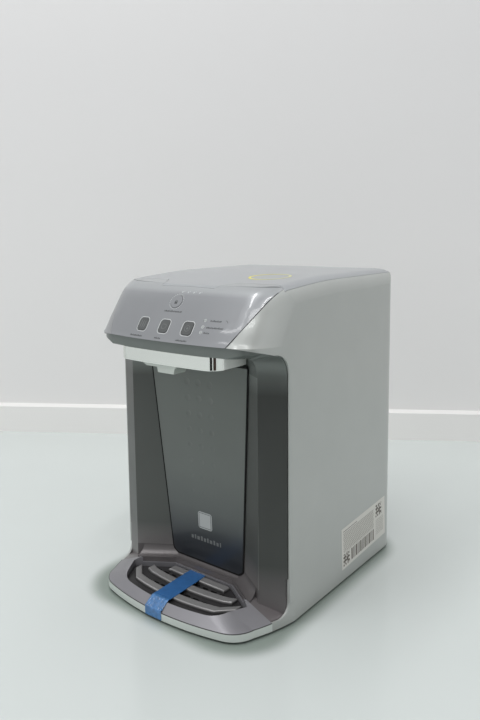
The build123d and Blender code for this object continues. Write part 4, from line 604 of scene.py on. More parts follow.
@dataclass
class PanelPrint:
    """Rings, bars and dots printed on the control panel in one ink.

    Attributes:
        name: name of the piece.
        ground: the CAD node they lie on.
        skin: the shape of the panel, to aim the print at.
        ink: their finish.
        lift: how far the print stands off the panel, in millimetres.
        body: the CAD body it rides on.
        points: corners so far, in millimetres.
        faces: corner numbers of the faces so far.
        probe: how far off the panel the search for it starts, in millimetres.
        probe_reach: how far the search goes.
        mark_widths: widths that a row of marks takes in turn.
        mark_heights: shares of the row's height that they take in turn.
        mark_gap: space between two marks.
        least_mark: a mark narrower than this is left out.
        quarter_steps: corners in a quarter of a ring.
        arc_steps: corners along an arc.
        core: radius of the hole in the middle of a dot.
    """

    name: str
    ground: bpy.types.Object
    skin: HeadSkin
    ink: Finish
    lift: float = 0.06
    body: str = "body"
    points: list[Vector] = field(default_factory=list)
    faces: list[tuple[int, ...]] = field(default_factory=list)
    probe: float = 5.0
    probe_reach: float = 12.0
    mark_widths: tuple[float, ...] = (1.3, 0.8, 1.6, 1.0, 0.6)
    mark_heights: tuple[float, ...] = (1.0, 0.72, 0.86)
    mark_gap: float = 0.45
    least_mark: float = 0.4
    quarter_steps: int = 8
    arc_steps: int = 10
    core: float = 0.1

    def __post_init__(self) -> None:
        """Index the faces of the node below the print."""
        mesh = self.ground.data
        corners = [self.ground.matrix_world @ vertex.co for vertex in mesh.vertices]
        self.tree = BVHTree.FromPolygons(corners, [tuple(polygon.vertices) for polygon in mesh.polygons])

    def spot(self, x: float, up: float) -> Vector:
        """Point of the print, pressed onto the node below.

        Args:
            x: distance from the middle.
            up: distance up the slope from the lip.

        Returns:
            The point, in millimetres.
        """
        normal = self.skin.panel_normal()
        height = self.skin.lip_z + up * math.cos(math.radians(self.skin.slope))
        above = self.skin.panel_point(x, height, self.probe)
        hit = self.tree.ray_cast(above * MM, -normal, self.probe_reach * MM)[0]
        return (hit / MM if hit is not None else above - normal * self.probe) + normal * self.lift

    def strip(self, inner: Sequence[Span], outer: Sequence[Span], closed: bool) -> None:
        """Fill the band between two outlines of equal length.

        Args:
            inner: x and distance up the slope of the inner outline.
            outer: the same for the outer outline.
            closed: whether the last points join the first ones.
        """
        first = len(self.points)
        for near, far in zip(inner, outer):
            self.points += [self.spot(*near), self.spot(*far)]
        count = len(inner)
        for index in range(count if closed else count - 1):
            here, there = first + 2 * index, first + 2 * ((index + 1) % count)
            self.faces.append((here, there, there + 1, here + 1))

    def up(self, z: float) -> float:
        """Distance up the slope of a height z."""
        return (z - self.skin.lip_z) / math.cos(math.radians(self.skin.slope))

    def bar(self, left: float, right: float, z: float, height: float) -> None:
        """Print one bar.

        Args:
            left: X of its left end.
            right: X of its right end.
            z: height of its middle.
            height: how tall it is, along the slope.
        """
        low = self.up(z) - height / 2
        steps = max(2, int((right - left) / 2) + 1)
        across = [left + (right - left) * index / steps for index in range(steps + 1)]
        self.strip([(x, low) for x in across], [(x, low + height) for x in across], False)

    def marks(self, left: float, right: float, z: float, height: float, seed: int) -> None:
        """Print a row of short plain marks of uneven width, with no letter in it.

        Args:
            left: X of its left end.
            right: X of its right end.
            z: height of its middle.
            height: how tall the tallest mark is.
            seed: which width and height come first.
        """
        x = left
        step = 0
        while x < right - self.least_mark:
            width = self.mark_widths[(step * 3 + seed) % len(self.mark_widths)]
            tall = height * self.mark_heights[(step + seed) % len(self.mark_heights)]
            self.bar(x, min(x + width, right), z - (height - tall) / 2, tall)
            x += width + self.mark_gap
            step += 1

    def loop(self, x: float, z: float, width: float, height: float, corner: float, band: float) -> None:
        """Print a rounded ring, or a circle where the corner is half the width.

        Args:
            x: X of its middle.
            z: height of its middle.
            width: width inside the band.
            height: height inside the band, along the slope.
            corner: radius of its corners inside the band.
            band: width of the band.
        """
        def outline(grow: float) -> list[Span]:
            """Outline of the ring, so far outside its inner one."""
            half_w, half_h, radius = width / 2 + grow, height / 2 + grow, corner + grow
            spots = []
            for quarter, (sx, sy) in enumerate(((1, 1), (-1, 1), (-1, -1), (1, -1))):
                for step in range(self.quarter_steps + 1):
                    angle = math.radians(90 * quarter + 90 / self.quarter_steps * step)
                    spots.append(
                        (
                            x + sx * (half_w - radius) + radius * math.cos(angle),
                            self.up(z) + sy * (half_h - radius) + radius * math.sin(angle),
                        )
                    )
            return spots

        self.strip(outline(0.0), outline(band), True)

    def dot(self, x: float, z: float, radius: float) -> None:
        """Print a small round dot."""
        self.loop(x, z, 2 * self.core, 2 * self.core, self.core, radius - self.core)

    def arc(self, x: float, z: float, radius: float, start: float, end: float, band: float) -> None:
        """Print part of a circle.

        Args:
            x: X of its centre.
            z: height of its centre.
            radius: its inner radius.
            start: where it starts, in degrees.
            end: where it ends, in degrees.
            band: its width.
        """
        turns = [index / self.arc_steps for index in range(self.arc_steps + 1)]
        angles = [math.radians(start + (end - start) * share) for share in turns]
        middle = self.up(z)
        self.strip(
            [(x + radius * math.cos(a), middle + radius * math.sin(a)) for a in angles],
            [(x + (radius + band) * math.cos(a), middle + (radius + band) * math.sin(a)) for a in angles],
            False,
        )

    def build(self) -> bpy.types.Object:
        """Make the print and let it ride on its body.

        Returns:
            The piece.
        """
        piece = new_piece(self.name, self.points, self.faces, [self.ink])
        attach(piece, self.body)
        LOG.info("%s printed, %d faces", self.name, len(self.faces))
        return piece


@dataclass
class PanelMarks:
    """All the prints of the control panel and its keys.

    Attributes:
        skin: the head's surface.
        nodes: the CAD nodes by name.
        key_columns: X of the three keys.
        key_z: height of the keys.
        key_ring: width, height, corner and band of a key's outline.
        lock_z: height of the lock key.
        lamps: X and height of the lamps.
        lamp_ring: the same sizes for a lamp's outline.
        lock_dots: number of dots round the lock key.
        lock_ring: how far from its middle they are, across and up.
        glyphs: X of the faint marks above the lock key.
        glyph_z: heights of their large and small dot.
        legends: left end, right end, height, size and seed of each legend.
        corners: X, start and end of the two corners beside the lamps' legends.
    """

    skin: HeadSkin
    nodes: dict[str, bpy.types.Object]
    key_columns: tuple[float, ...] = (-37.6, -3.0, 31.6)
    key_z: float = 338.5
    key_ring: Area = (15.2, 17.2, 4.1, 0.8)
    lock_z: float = 365.0
    lamps: tuple[Span, ...] = ((51.0, 348.0), (51.0, 341.5), (51.0, 336.0))
    lamp_ring: Area = (3.0, 3.0, 1.5, 0.35)
    lock_dots: int = 28
    lock_ring: Span = (9.6, 7.9)
    glyphs: tuple[float, ...] = (1.0, 9.5, 18.0, 26.5)
    glyph_z: Span = (375.2, 376.0)
    legends: tuple[tuple[float, float, float, float, int], ...] = (
        (-52.0, -32.0, 326.2, 2.0, 0), (-11.0, -1.0, 326.2, 2.0, 2), (21.0, 37.0, 326.2, 2.0, 4),
        (-13.0, 14.0, 354.6, 2.0, 1),
        (58.0, 72.0, 348.0, 2.0, 3), (56.0, 77.0, 341.2, 2.0, 2), (55.0, 62.0, 335.8, 1.8, 0),
    )
    corners: tuple[Place, ...] = ((52.5, 100.0, 165.0), (76.5, 15.0, 80.0))

    def build(self) -> None:
        """Print the outlines, legends and symbols."""
        self.build_outlines()
        self.build_legends()
        self.build_symbols()

    def on_panel(self, name: str, ink: Finish) -> PanelPrint:
        """Start a print on the panel."""
        return PanelPrint(name, self.nodes["control_panel"], self.skin, ink)

    def on_key(self, name: str, node: str, ink: Finish, body: str) -> PanelPrint:
        """Start a print on a key."""
        return PanelPrint(name, self.nodes[node], self.skin, ink, body=body)

    def build_outlines(self) -> None:
        """Print the rings of the keys and lamps, and the dots round and above the lock key."""
        light = self.on_panel("key_outlines", LIGHT_INK)
        for x in self.key_columns:
            light.loop(x, self.key_z, *self.key_ring)
        for x, z in self.lamps:
            light.loop(x, z, *self.lamp_ring)
        light.build()
        faint = self.on_panel("lock_outline", FAINT_INK)
        across, up = self.lock_ring
        for step in range(self.lock_dots):
            angle = math.tau * step / self.lock_dots
            faint.dot(across * math.cos(angle), self.lock_z + up * math.sin(angle), 0.5)
        for x in self.glyphs:
            faint.dot(x, self.glyph_z[0], 0.9)
            faint.dot(x + 2.2, self.glyph_z[1], 0.5)
        faint.build()

    def build_legends(self) -> None:
        """Print the rows of marks and the two small corners beside them."""
        dark = self.on_panel("legends", DARK_INK)
        for legend in self.legends:
            dark.marks(*legend)
        for x, start, end in self.corners:
            dark.arc(x, 346.0, 3.6, start, end, 0.5)
        dark.build()

    def build_symbols(self) -> None:
        """Print a plain symbol on each key."""
        lock = self.on_key("lock_symbol", "lock_key", DARK_INK, "key_lock")
        lock.bar(-2.0, 2.0, self.lock_z - 1.4, 3.0)
        lock.arc(0.0, self.lock_z - 0.2, 1.3, 0.0, 180.0, 0.5)
        lock.build()
        left_x, middle_x, right_x = self.key_columns
        left = self.on_key("key_left_symbol", "key_1", KEY_INK, "key_left")
        for offset in (-3.0, 0.0, 3.0):
            left.bar(left_x + offset - 0.4, left_x + offset + 0.4, self.key_z, 8.5)
        left.build()
        middle = self.on_key("key_middle_symbol", "key_2", KEY_INK, "key_middle")
        middle.arc(middle_x, self.key_z, 3.2, 150.0, 390.0, 0.6)
        middle.bar(middle_x - 2.6, middle_x + 2.6, self.key_z + 2.0, 0.6)
        middle.build()
        right = self.on_key("key_right_symbol", "key_3", KEY_INK, "key_right")
        right.loop(right_x, self.key_z, 6.4, 6.4, 3.2, 0.6)
        right.dot(right_x, self.key_z, 1.3)
        right.build()


class LabelPrint(IntEnum):
    """What a cell of the label holds, as the number of its material slot."""

    PAPER = 0
    PALE = 1
    DARK = 2


def within(area: Area, along: float, up: float) -> bool:
    """Tell whether a spot lies in an area.

    Args:
        area: its left, right, lower and upper edge.
        along: how far along the spot is.
        up: how far up it is.

    Returns:
        Whether it is inside.
    """
    left, right, low, high = area
    return left <= along < right and low <= up < high


@dataclass
class SideLabel:
    """Paper label on the right side cover, with plain bars and chequered squares on it.

    Attributes:
        middle_y: Y of its middle, in millimetres, as are all lengths here.
        middle_z: height of its middle.
        length: how long it is.
        height: how tall it is.
        tilt: how far it is turned, in degrees.
        face_x: X of its face.
        back_x: X of its back.
        cell: size of the cells that it is printed in.
        squares: left edge, lower edge and size of each chequered square.
        square_cell: size of a square's cells.
        bars: area of the upright bars.
        rows: area of the pale rows.
        heading: area of the dark line above them.
        table: area of the pale table.
    """

    middle_y: float = 81.0
    middle_z: float = 47.5
    length: float = 119.0
    height: float = 54.5
    tilt: float = 3.0
    face_x: float = 130.15
    back_x: float = 130.0
    cell: float = 0.85
    squares: tuple[Place, ...] = ((3.0, 3.0, 16.15), (92.0, 33.0, 17.0))
    square_cell: float = 2.55
    bars: Area = (23.0, 86.0, 4.0, 19.5)
    rows: Area = (4.0, 86.0, 21.5, 48.0)
    heading: Area = (4.0, 40.0, 49.0, 50.5)
    table: Area = (92.0, 114.0, 8.0, 30.0)

    def chequered(self, along: float, up: float, size: float) -> bool:
        """Tell whether a spot of a square is dark: a dotted frame round an uneven filling.

        Args:
            along: distance from the square's left edge.
            up: distance from its lower edge.
            size: size of the square.

        Returns:
            Whether it is dark.
        """
        column, row = int(along / self.square_cell), int(up / self.square_cell)
        last = int(size / self.square_cell) - 1
        if column in (0, last) or row in (0, last):
            return (column + row) % 2 == 0
        return (column * 73 + row * 151 + column * row * 37 + column * column * 11) % 101 % 2 == 0

    def inked(self, along: float, up: float) -> LabelPrint:
        """Print at a spot, measured from the label's lower front corner.

        Args:
            along: distance towards the rear.
            up: distance up.

        Returns:
            What is printed there.
        """
        column, row = int(along / self.cell), int(up / self.cell)
        for left, low, size in self.squares:
            if within((left, left + size, low, low + size), along, up):
                return LabelPrint.DARK if self.chequered(along - left, up - low, size) else LabelPrint.PAPER
        if within(self.bars, along, up):
            return LabelPrint.DARK if int(along / (2 * self.cell)) % 7 in (0, 1, 3, 5) else LabelPrint.PAPER
        if within(self.rows, along, up):
            gap = row % 3 == 2 or int(along / self.cell + 5 * row) % 9 in (0, 4)
            return LabelPrint.PAPER if gap else LabelPrint.PALE
        if within(self.heading, along, up):
            return LabelPrint.DARK
        if within(self.table, along, up) and (column + row) % 3 == 0:
            return LabelPrint.PALE
        return LabelPrint.PAPER

    def build(self) -> None:
        """Make the label's sheet, cell by cell, with its edges."""
        columns, rows = round(self.length / self.cell), round(self.height / self.cell)
        turn = math.radians(self.tilt)

        def spot(column: int, row: int, x: float) -> Vector:
            """Corner of a cell, on the face or on the back."""
            along = column * self.length / columns - self.length / 2
            up = row * self.height / rows - self.height / 2
            return Vector(
                (
                    x,
                    self.middle_y + along * math.cos(turn) - up * math.sin(turn),
                    self.middle_z + along * math.sin(turn) + up * math.cos(turn),
                )
            )

        points = [spot(column, row, self.face_x) for row in range(rows + 1) for column in range(columns + 1)]
        faces: list[tuple[int, ...]] = []
        inks: list[int] = []
        for row in range(rows):
            for column in range(columns):
                first = row * (columns + 1) + column
                faces.append((first, first + 1, first + columns + 2, first + columns + 1))
                along, up = (column + 0.5) * self.cell, (row + 0.5) * self.cell
                inks.append(self.inked(along, up))
        rim = (
            list(range(columns))
            + [columns + row * (columns + 1) for row in range(rows)]
            + [rows * (columns + 1) + column for column in range(columns, 0, -1)]
            + [row * (columns + 1) for row in range(rows, 0, -1)]
        )
        first_back = len(points)
        for index in rim:
            column, row = index % (columns + 1), index // (columns + 1)
            points.append(spot(column, row, self.back_x))
        for index, front in enumerate(rim):
            after = (index + 1) % len(rim)
            faces.append((first_back + index, first_back + after, rim[after], front))
            inks.append(LabelPrint.PAPER)
        faces.append(tuple(first_back + index for index in reversed(range(len(rim)))))
        inks.append(LabelPrint.PAPER)
        piece = new_piece("label_sheet", points, faces, [LABEL_PAPER, LABEL_TEXT, LABEL_INK])
        piece.data.polygons.foreach_set("material_index", inks)
        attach(piece, "body")
        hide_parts("side_label")
        LOG.info("label of %d by %d cells laid", columns, rows)


@dataclass
class WrinkledTape:
    """Blue tape over the ribs, the deck and the light band, creased towards its front end.

    Attributes:
        left: X of its left edge at the rear, in millimetres, as are all lengths here.
        right: X of its right edge there.
        rear_y: Y of its rear end.
        rib_top_z: height of the ribs that it lies on.
        deck_rear_y: Y where it leaves the ribs.
        front_y: Y of its stretch down the light band.
        band_top_z: height of the light band's top.
        foot_z: height of its front end.
        thickness: how thick it is.
        lengthwise: number of cells along it.
        crosswise: number of cells across it.
        skew: how far it drifts to the right over its length.
        ragged: how uneven its edges are.
        crease_start: share of its length where the creases start.
        crease_run: share of its length over which they grow.
        crease_power: how fast they grow.
        loose_room: size of the creases where it hangs over the deck.
        stuck_room: their size where it is stuck to the band.
        loose_limit: how high they get over the deck at most.
        stuck_limit: how high they get on the band at most.
        front_leg: number of the stretch where the band starts.
        creased_share: share of its length where the creased finish starts.
    """

    left: float = -20.5
    right: float = 5.0
    rear_y: float = -92.0
    rib_top_z: float = 20.8
    deck_rear_y: float = -166.0
    front_y: float = -177.55
    band_top_z: float = 12.3
    foot_z: float = 3.1
    thickness: float = 0.15
    lengthwise: int = 150
    crosswise: int = 34
    skew: float = 3.6
    ragged: float = 0.5
    crease_start: float = 0.66
    crease_run: float = 0.34
    crease_power: float = 0.7
    loose_room: float = 1.3
    stuck_room: float = 0.18
    loose_limit: float = 1.6
    stuck_limit: float = 0.22
    front_leg: int = 2
    creased_share: float = 0.72

    def relief(self, x: float, middle: Vector, leg: int, rest: float, share: float) -> float:
        """How high the tape stands at a spot.

        Args:
            x: X of the spot.
            middle: the tape's middle line there.
            leg: number of the stretch.
            rest: distance along the stretch.
            share: share of the whole length.

        Returns:
            The height, along the tape's normal.
        """
        stuck = leg >= self.front_leg
        room, limit = (self.stuck_room, self.stuck_limit) if stuck else (self.loose_room, self.loose_limit)
        crumple = max(0.0, (share - self.crease_start) / self.crease_run) ** self.crease_power
        folds = noise.noise(Vector((x * 0.33, rest * 0.12 + leg * 7, 1.7)))
        fine = noise.noise(Vector((x * 0.9, middle.y * 0.5 + middle.z * 0.5, 5.2)))
        height = room * crumple * (0.1 + 2.6 * abs(folds) + 1.1 * abs(fine))
        height += 0.06 * (1 + noise.noise(Vector((x * 0.1, middle.y * 0.08, 0))))
        return min(height, limit)

    def build(self) -> None:
        """Make the sheet from its side view and press the creases into it."""
        path = [
            Vector((0, self.rear_y, self.rib_top_z)),
            Vector((0, self.deck_rear_y + 1, self.rib_top_z)),
            Vector((0, self.front_y + 0.4, self.band_top_z + 0.2)),
            Vector((0, self.front_y, self.band_top_z - 0.8)),
            Vector((0, self.front_y, self.foot_z)),
        ]
        lengths = [(end - start).length for start, end in zip(path, path[1:])]
        total = sum(lengths)
        points: list[Vector] = []
        for row in range(self.lengthwise + 1):
            share = row / self.lengthwise
            rest = share * total
            leg = 0
            while leg < len(lengths) - 1 and rest > lengths[leg]:
                rest -= lengths[leg]
                leg += 1
            start, end = path[leg], path[leg + 1]
            middle = start.lerp(end, min(rest / lengths[leg], 1.0))
            along = (end - start).normalized()
            out = Vector((0, along.z, -along.y))
            for column in range(self.crosswise + 1):
                across = column / self.crosswise
                edge = noise.noise(Vector((share * 30, 3.0 if across > 0.5 else 9.0, 0)))
                x = self.left + (self.right - self.left) * across + self.skew * share + self.ragged * edge
                lift = self.relief(x, middle, leg, rest, share)
                points.append(Vector((x, middle.y, middle.z)) + out * lift)
        width = self.crosswise + 1
        count = len(points)
        down, inward = Vector((0, 0, -self.thickness)), Vector((0, self.thickness, 0))
        points += [point + (down if point.z > self.band_top_z else inward) for point in points]
        faces: list[tuple[int, ...]] = []
        for row in range(self.lengthwise):
            for column in range(self.crosswise):
                first = row * width + column
                faces.append((first, first + width, first + width + 1, first + 1))
                back = (first, first + 1, first + width + 1, first + width)
                faces.append(tuple(count + index for index in back))
        for row in range(self.lengthwise):
            for column, flip in ((0, False), (self.crosswise, True)):
                first, after = row * width + column, (row + 1) * width + column
                side = (first, count + first, count + after, after)
                faces.append(side[::-1] if flip else side)
        for row, flip in ((0, True), (self.lengthwise, False)):
            for column in range(self.crosswise):
                first = row * width + column
                end_face = (first, count + first, count + first + 1, first + 1)
                faces.append(end_face[::-1] if flip else end_face)
        piece = new_piece("creased_tape", points, faces, [TAPE_FILM, TAPE_CREASED])
        creased = self.crosswise * round(self.lengthwise * self.creased_share) * 2
        edges = 2 * self.lengthwise * self.crosswise
        slots = [1 if creased < index < edges else 0 for index in range(len(faces))]
        piece.data.polygons.foreach_set("material_index", slots)
        piece.data.polygons.foreach_set("use_smooth", [True] * len(piece.data.polygons))
        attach(piece, "grille")
        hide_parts("shipping_tape")
        LOG.info("tape laid, %d faces", len(faces))


@dataclass
class CoverPrint:
    """Plain frame on the front cover's badge, and marks printed below it.

    Attributes:
        foot_y: Y of the cover's face at its foot, in millimetres, as are all lengths here.
        foot_z: height of its foot.
        head_y: Y of its face at the top.
        head_z: height of its top.
        badge_z: height of the badge's middle.
        badge_size: size of the badge.
        inset: how far the frame stays inside the badge.
        band: width of the frame.
        frame_lift: how far the frame stands off the cover.
        marks_half: half the length of the row of marks.
        marks_low: height of the row's foot.
        marks_high: height of the low marks' top.
        marks_step: how much higher every second one is.
        mark_widths: widths that the marks take in turn.
        mark_gap: space between two marks.
        mark_lift: how far the marks stand off the cover.
    """

    foot_y: float = -86.0
    foot_z: float = 29.5
    head_y: float = -99.0
    head_z: float = 292.0
    badge_z: float = 88.0
    badge_size: float = 22.0
    inset: float = 1.2
    band: float = 0.9
    frame_lift: float = 0.25
    marks_half: float = 24.0
    marks_low: float = 60.0
    marks_high: float = 64.5
    marks_step: float = 1.2
    mark_widths: tuple[float, ...] = (3.4, 2.2, 4.0, 2.8)
    mark_gap: float = 2.0
    mark_lift: float = 0.05

    def spot(self, x: float, z: float, lift: float) -> Vector:
        """Point on the leaning cover.

        Args:
            x: distance from the middle.
            z: height.
            lift: how far off the cover.

        Returns:
            The point.
        """
        share = (z - self.foot_z) / (self.head_z - self.foot_z)
        lean = math.atan2(self.head_y - self.foot_y, self.head_z - self.foot_z)
        normal = Vector((0, -math.cos(lean), math.sin(lean)))
        return Vector((x, self.foot_y + (self.head_y - self.foot_y) * share, z)) + normal * lift

    def build(self) -> None:
        """Make the frame and the marks below it."""
        points: list[Vector] = []
        faces: list[tuple[int, ...]] = []

        def patch(left: float, right: float, low: float, high: float, lift: float) -> None:
            """Add one upright rectangle."""
            first = len(points)
            points.extend(
                self.spot(x, z, lift) for x, z in ((left, low), (right, low), (right, high), (left, high))
            )
            faces.append((first, first + 1, first + 2, first + 3))

        half, band = self.badge_size / 2 - self.inset, self.band
        for left, right, low, high in (
            (-half, half, -half, -half + band),
            (-half, half, half - band, half),
            (-half, -half + band, -half + band, half - band),
            (half - band, half, -half + band, half - band),
        ):
            patch(left, right, self.badge_z + low, self.badge_z + high, self.frame_lift)
        x, step = -self.marks_half, 0
        while x < self.marks_half - 1:
            width = self.mark_widths[step % len(self.mark_widths)]
            high = self.marks_high + self.marks_step * (step % 2)
            patch(x, min(x + width, self.marks_half), self.marks_low, high, self.mark_lift)
            x += width + self.mark_gap
            step += 1
        piece = new_piece("cover_marks", points, faces, [KEY_INK])
        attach(piece, "cover")
        LOG.info("cover printed, %d faces", len(faces))


@dataclass
class CoverOutline:
    """Dark line round the front cover, where its edge meets the niche.

    Attributes:
        cover: the cover's CAD node.
        band: width of the line, in millimetres.
        lift: how far it stands off the cover.
        tolerance: how near the face's plane its corners are, and how far apart two corners are at least.
    """

    cover: bpy.types.Object
    band: float = 1.9
    lift: float = 0.12
    tolerance: float = 0.05

    def build(self) -> None:
        """Find the outline of the cover's front face and draw the line inside it."""
        print_plan = CoverPrint()
        foot = print_plan.spot(0, print_plan.foot_z, 0.0)
        normal = (print_plan.spot(0, print_plan.foot_z, 1.0) - foot).normalized()
        rise = normal.cross(Vector((-1, 0, 0))).normalized()
        flat = [
            Vector((point.x, (point - foot).dot(rise)))
            for point in (vertex.co / MM for vertex in self.cover.data.vertices)
            if abs((point - foot).dot(normal)) < self.tolerance
        ]
        ring = [flat[index] for index in geometry.convex_hull_2d(flat)]
        outline = [
            point for point, after in zip(ring, ring[1:] + ring[:1]) if (after - point).length > self.tolerance
        ]
        middle = sum(outline, Vector((0, 0))) / len(outline)
        points: list[Vector] = []
        for index, point in enumerate(outline):
            before, after = outline[index - 1], outline[(index + 1) % len(outline)]
            run = (after - before).normalized()
            inward = Vector((-run.y, run.x))
            if inward.dot(middle - point) < 0:
                inward = -inward
            for spot in (point, point + inward * self.band):
                points.append(foot + Vector((spot.x, 0, 0)) + rise * spot.y + normal * self.lift)
        count = len(outline)
        faces = [
            (2 * index, 2 * index + 1, 2 * ((index + 1) % count) + 1, 2 * ((index + 1) % count))
            for index in range(count)
        ]
        piece = new_piece("cover_outline", points, faces, [SEAM_BLACK])
        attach(piece, "cover")
        LOG.info("cover outlined, %d points", count)


@dataclass(frozen=True)
class PanelSeam:
    """Dark seam between the control panel and the right side cover.

    Attributes:
        skin: outside of the head.
        marks: height and half width of the panel at three heights.
        band: width of the seam, in millimetres.
        lift: how far its front stands off the head.
        top_z: where it ends.
        steps: number of places along it.
    """

    skin: HeadSkin
    marks: tuple[Span, ...] = ((323.0, 88.5), (355.0, 106.5), (383.0, 119.0))
    band: float = 0.9
    lift: float = 0.12
    top_z: float = 378.0
    steps: int = 26

    def edge(self, level: float) -> float:
        """Half the panel's width, on the parabola through the three marks.

        Args:
            level: height.

        Returns:
            The half width there.
        """
        width = 0.0
        for index, (height, half) in enumerate(self.marks):
            for other, (far_height, _) in enumerate(self.marks):
                if other != index:
                    half *= (level - far_height) / (height - far_height)
            width += half
        return width

    def build(self) -> None:
        """Lay the seam on the head."""
        points: list[Vector] = []
        low = self.marks[0][0]
        for step in range(self.steps + 1):
            level = low + (self.top_z - low) * step / self.steps
            middle = self.edge(level)
            for x in (middle - self.band / 2, middle + self.band / 2):
                points.append(Vector((x, self.skin.front_at(x, level) - self.lift, level)))
        faces = [(2 * step, 2 * step + 1, 2 * step + 3, 2 * step + 2) for step in range(self.steps)]
        piece = new_piece("panel_seam", points, faces, [SEAM_BLACK])
        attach(piece, "body")
        LOG.info("panel seam laid")


@dataclass
class Studio:
    """Room, lights and camera.

    Attributes:
        camera_place: camera position in the frame, in metres.
        turn: how far the camera looks round from +Y, in degrees.
        dip: how far it looks down, in degrees.
        roll: its roll, in degrees.
        lens: focal length, in millimetres.
        sensor: width of the sensor, in millimetres.
        shift: vertical shift of the lens.
        floor_colour: display colour of the floor.
        wall_colour: display colour of the wall.
        wall_foot_colour: its display colour at the foot, lighter than the rest as painted light.
        wall_fade: height where the wall has its own colour, in millimetres.
        board_colour: display colour of the skirting board.
        wall_place: a point at the foot of the wall, in metres.
        wall_turn: direction of the wall's foot, in degrees from +X.
        wall_half: half the length of the wall, in metres.
        wall_height: height of the wall, in metres.
        floor_depth: how far the floor reaches from the wall, in metres.
        skirting: height of the skirting board, in metres.
        skirting_depth: how far it stands off the wall.
        bevel: how far its top rises towards the wall.
        shade_colour: display colour of the shadow painted on the floor round the object.
        shade_core: half the width and depth of the box that the shade spreads from, in metres.
        shade_span: distances from that box where the shade starts to fade and where it ends.
        shade_share: how strong the shade is.
        aim: point that the lamps face, in metres.
        tubes: name, two ends, width and power of each lamp.
        world_colour: colour of the room's own light.
        world_strength: its strength.
        screen_distance: how far behind the camera the screens stand, in metres.
        screen_height: how high they are.
    """

    camera_place: Place = (0.53118, -0.69251, 0.44698)
    turn: float = 38.0737
    dip: float = 6.934
    roll: float = -0.6149
    lens: float = 33.97
    sensor: float = 36.0
    shift: float = -0.06812
    floor_colour: DisplayColour = (211, 217, 215)
    wall_colour: DisplayColour = (223, 222, 222)
    wall_foot_colour: DisplayColour = (233, 232, 231)
    wall_fade: float = 800.0
    board_colour: DisplayColour = (238, 237, 235)
    wall_place: Span = (-0.372, 0.429)
    wall_turn: float = 31.96
    wall_half: float = 4.0
    wall_height: float = 3.2
    floor_depth: float = 7.0
    skirting: float = 0.058
    skirting_depth: float = 0.012
    bevel: float = 0.005
    shade_colour: DisplayColour = (96, 112, 100)
    shade_core: Place = (0.075, 0.118, 0.0)
    shade_span: Span = (0.052, 0.082)
    shade_share: float = 0.75
    aim: Place = (0.05, -0.1, 0.3)
    tubes: tuple[tuple[str, Place, Place, float, float], ...] = (
        ("tube_left", (-1.2, -1.62, 2.3), (-0.25, -1.56, 2.3), 0.07, 2.6),
        ("tube_far", (-0.2, -1.4, 2.3), (-0.65, 0.1, 2.3), 0.12, 11.0),
        ("tube_right", (0.05, -1.58, 2.3), (0.8, -1.4, 2.3), 0.1, 3.0),
        ("tube_near", (0.8, -1.3, 2.3), (0.5, -0.3, 2.3), 0.09, 8.0),
        ("ceiling", (-0.9, 1.2, 2.6), (0.7, 1.2, 2.6), 1.6, 14.0),
    )
    world_colour: Colour = (0.94, 0.95, 0.96)
    world_strength: float = 0.9
    screen_distance: float = 0.3
    screen_height: float = 1.7

    def build_camera(self) -> None:
        """Create the camera at its place."""
        data = bpy.data.cameras.new("camera")
        data.lens = self.lens
        data.sensor_width = self.sensor
        data.shift_y = self.shift
        camera = bpy.data.objects.new("camera", data)
        bpy.context.scene.collection.objects.link(camera)
        camera.location = self.camera_place
        facing = (
            Matrix.Rotation(math.radians(self.turn), 4, "Z")
            @ Matrix.Rotation(math.radians(90 - self.dip), 4, "X")
            @ Matrix.Rotation(math.radians(self.roll), 4, "Z")
        )
        camera.rotation_euler = facing.to_euler()
        bpy.context.scene.camera = camera

    def build_room(self) -> None:
        """Create the floor with a shadow painted round the object's foot, the wall painted lighter towards its
        foot as painted light, and its skirting board.
        """
        turn = math.radians(self.wall_turn)
        run = Vector((math.cos(turn), math.sin(turn), 0))
        inward = Vector((math.sin(turn), -math.cos(turn), 0))
        foot = Vector((*self.wall_place, 0))
        left, right = (foot - run * self.wall_half) / MM, (foot + run * self.wall_half) / MM
        near = inward * self.floor_depth / MM
        floor_paint_shadowed = Finish(
            "floor_paint_shadowed", self.floor_colour, 0.14, mottle=0.012, mottle_size=260, grain_size=60, bump=0.01,
        )
        # The wall is painted lighter towards its foot: painted light.
        wall_paint_lit_foot = Finish(
            "wall_paint_lit_foot", self.wall_colour, 0.8, mottle=0.01, mottle_size=500, grain_size=4, bump=0.02,
            stops=((0.0, self.wall_foot_colour), (self.wall_fade, self.wall_colour)),
        )
        board_paint = Finish(
            "board_paint", self.board_colour, 0.5, mottle=0.01, mottle_size=300, grain_size=4, bump=0.02,
        )
        up = Vector((0, 0, 1)) / MM
        wall_top = up * self.wall_height
        depth = inward * self.skirting_depth / MM
        top = up * self.skirting
        high = top + up * self.bevel
        for name, corners, paint in (
            ("floor", (left, left + near, right + near, right), floor_paint_shadowed),
            ("wall", (left, right, right + wall_top, left + wall_top), wall_paint_lit_foot),
            ("skirting_face", (left + depth, right + depth, right + depth + top, left + depth + top), board_paint),
            ("skirting_top", (left + depth + top, right + depth + top, right + high, left + high), board_paint),
        ):
            piece = new_piece(name, corners, [(0, 1, 2, 3)], [paint], depth=0)
        for paint in (wall_paint_lit_foot, board_paint):
            self.clear_rear(paint.make())
        # Painted shadow on the floor round the object's foot.
        self.shade_floor(floor_paint_shadowed.make())
        LOG.info("room built")

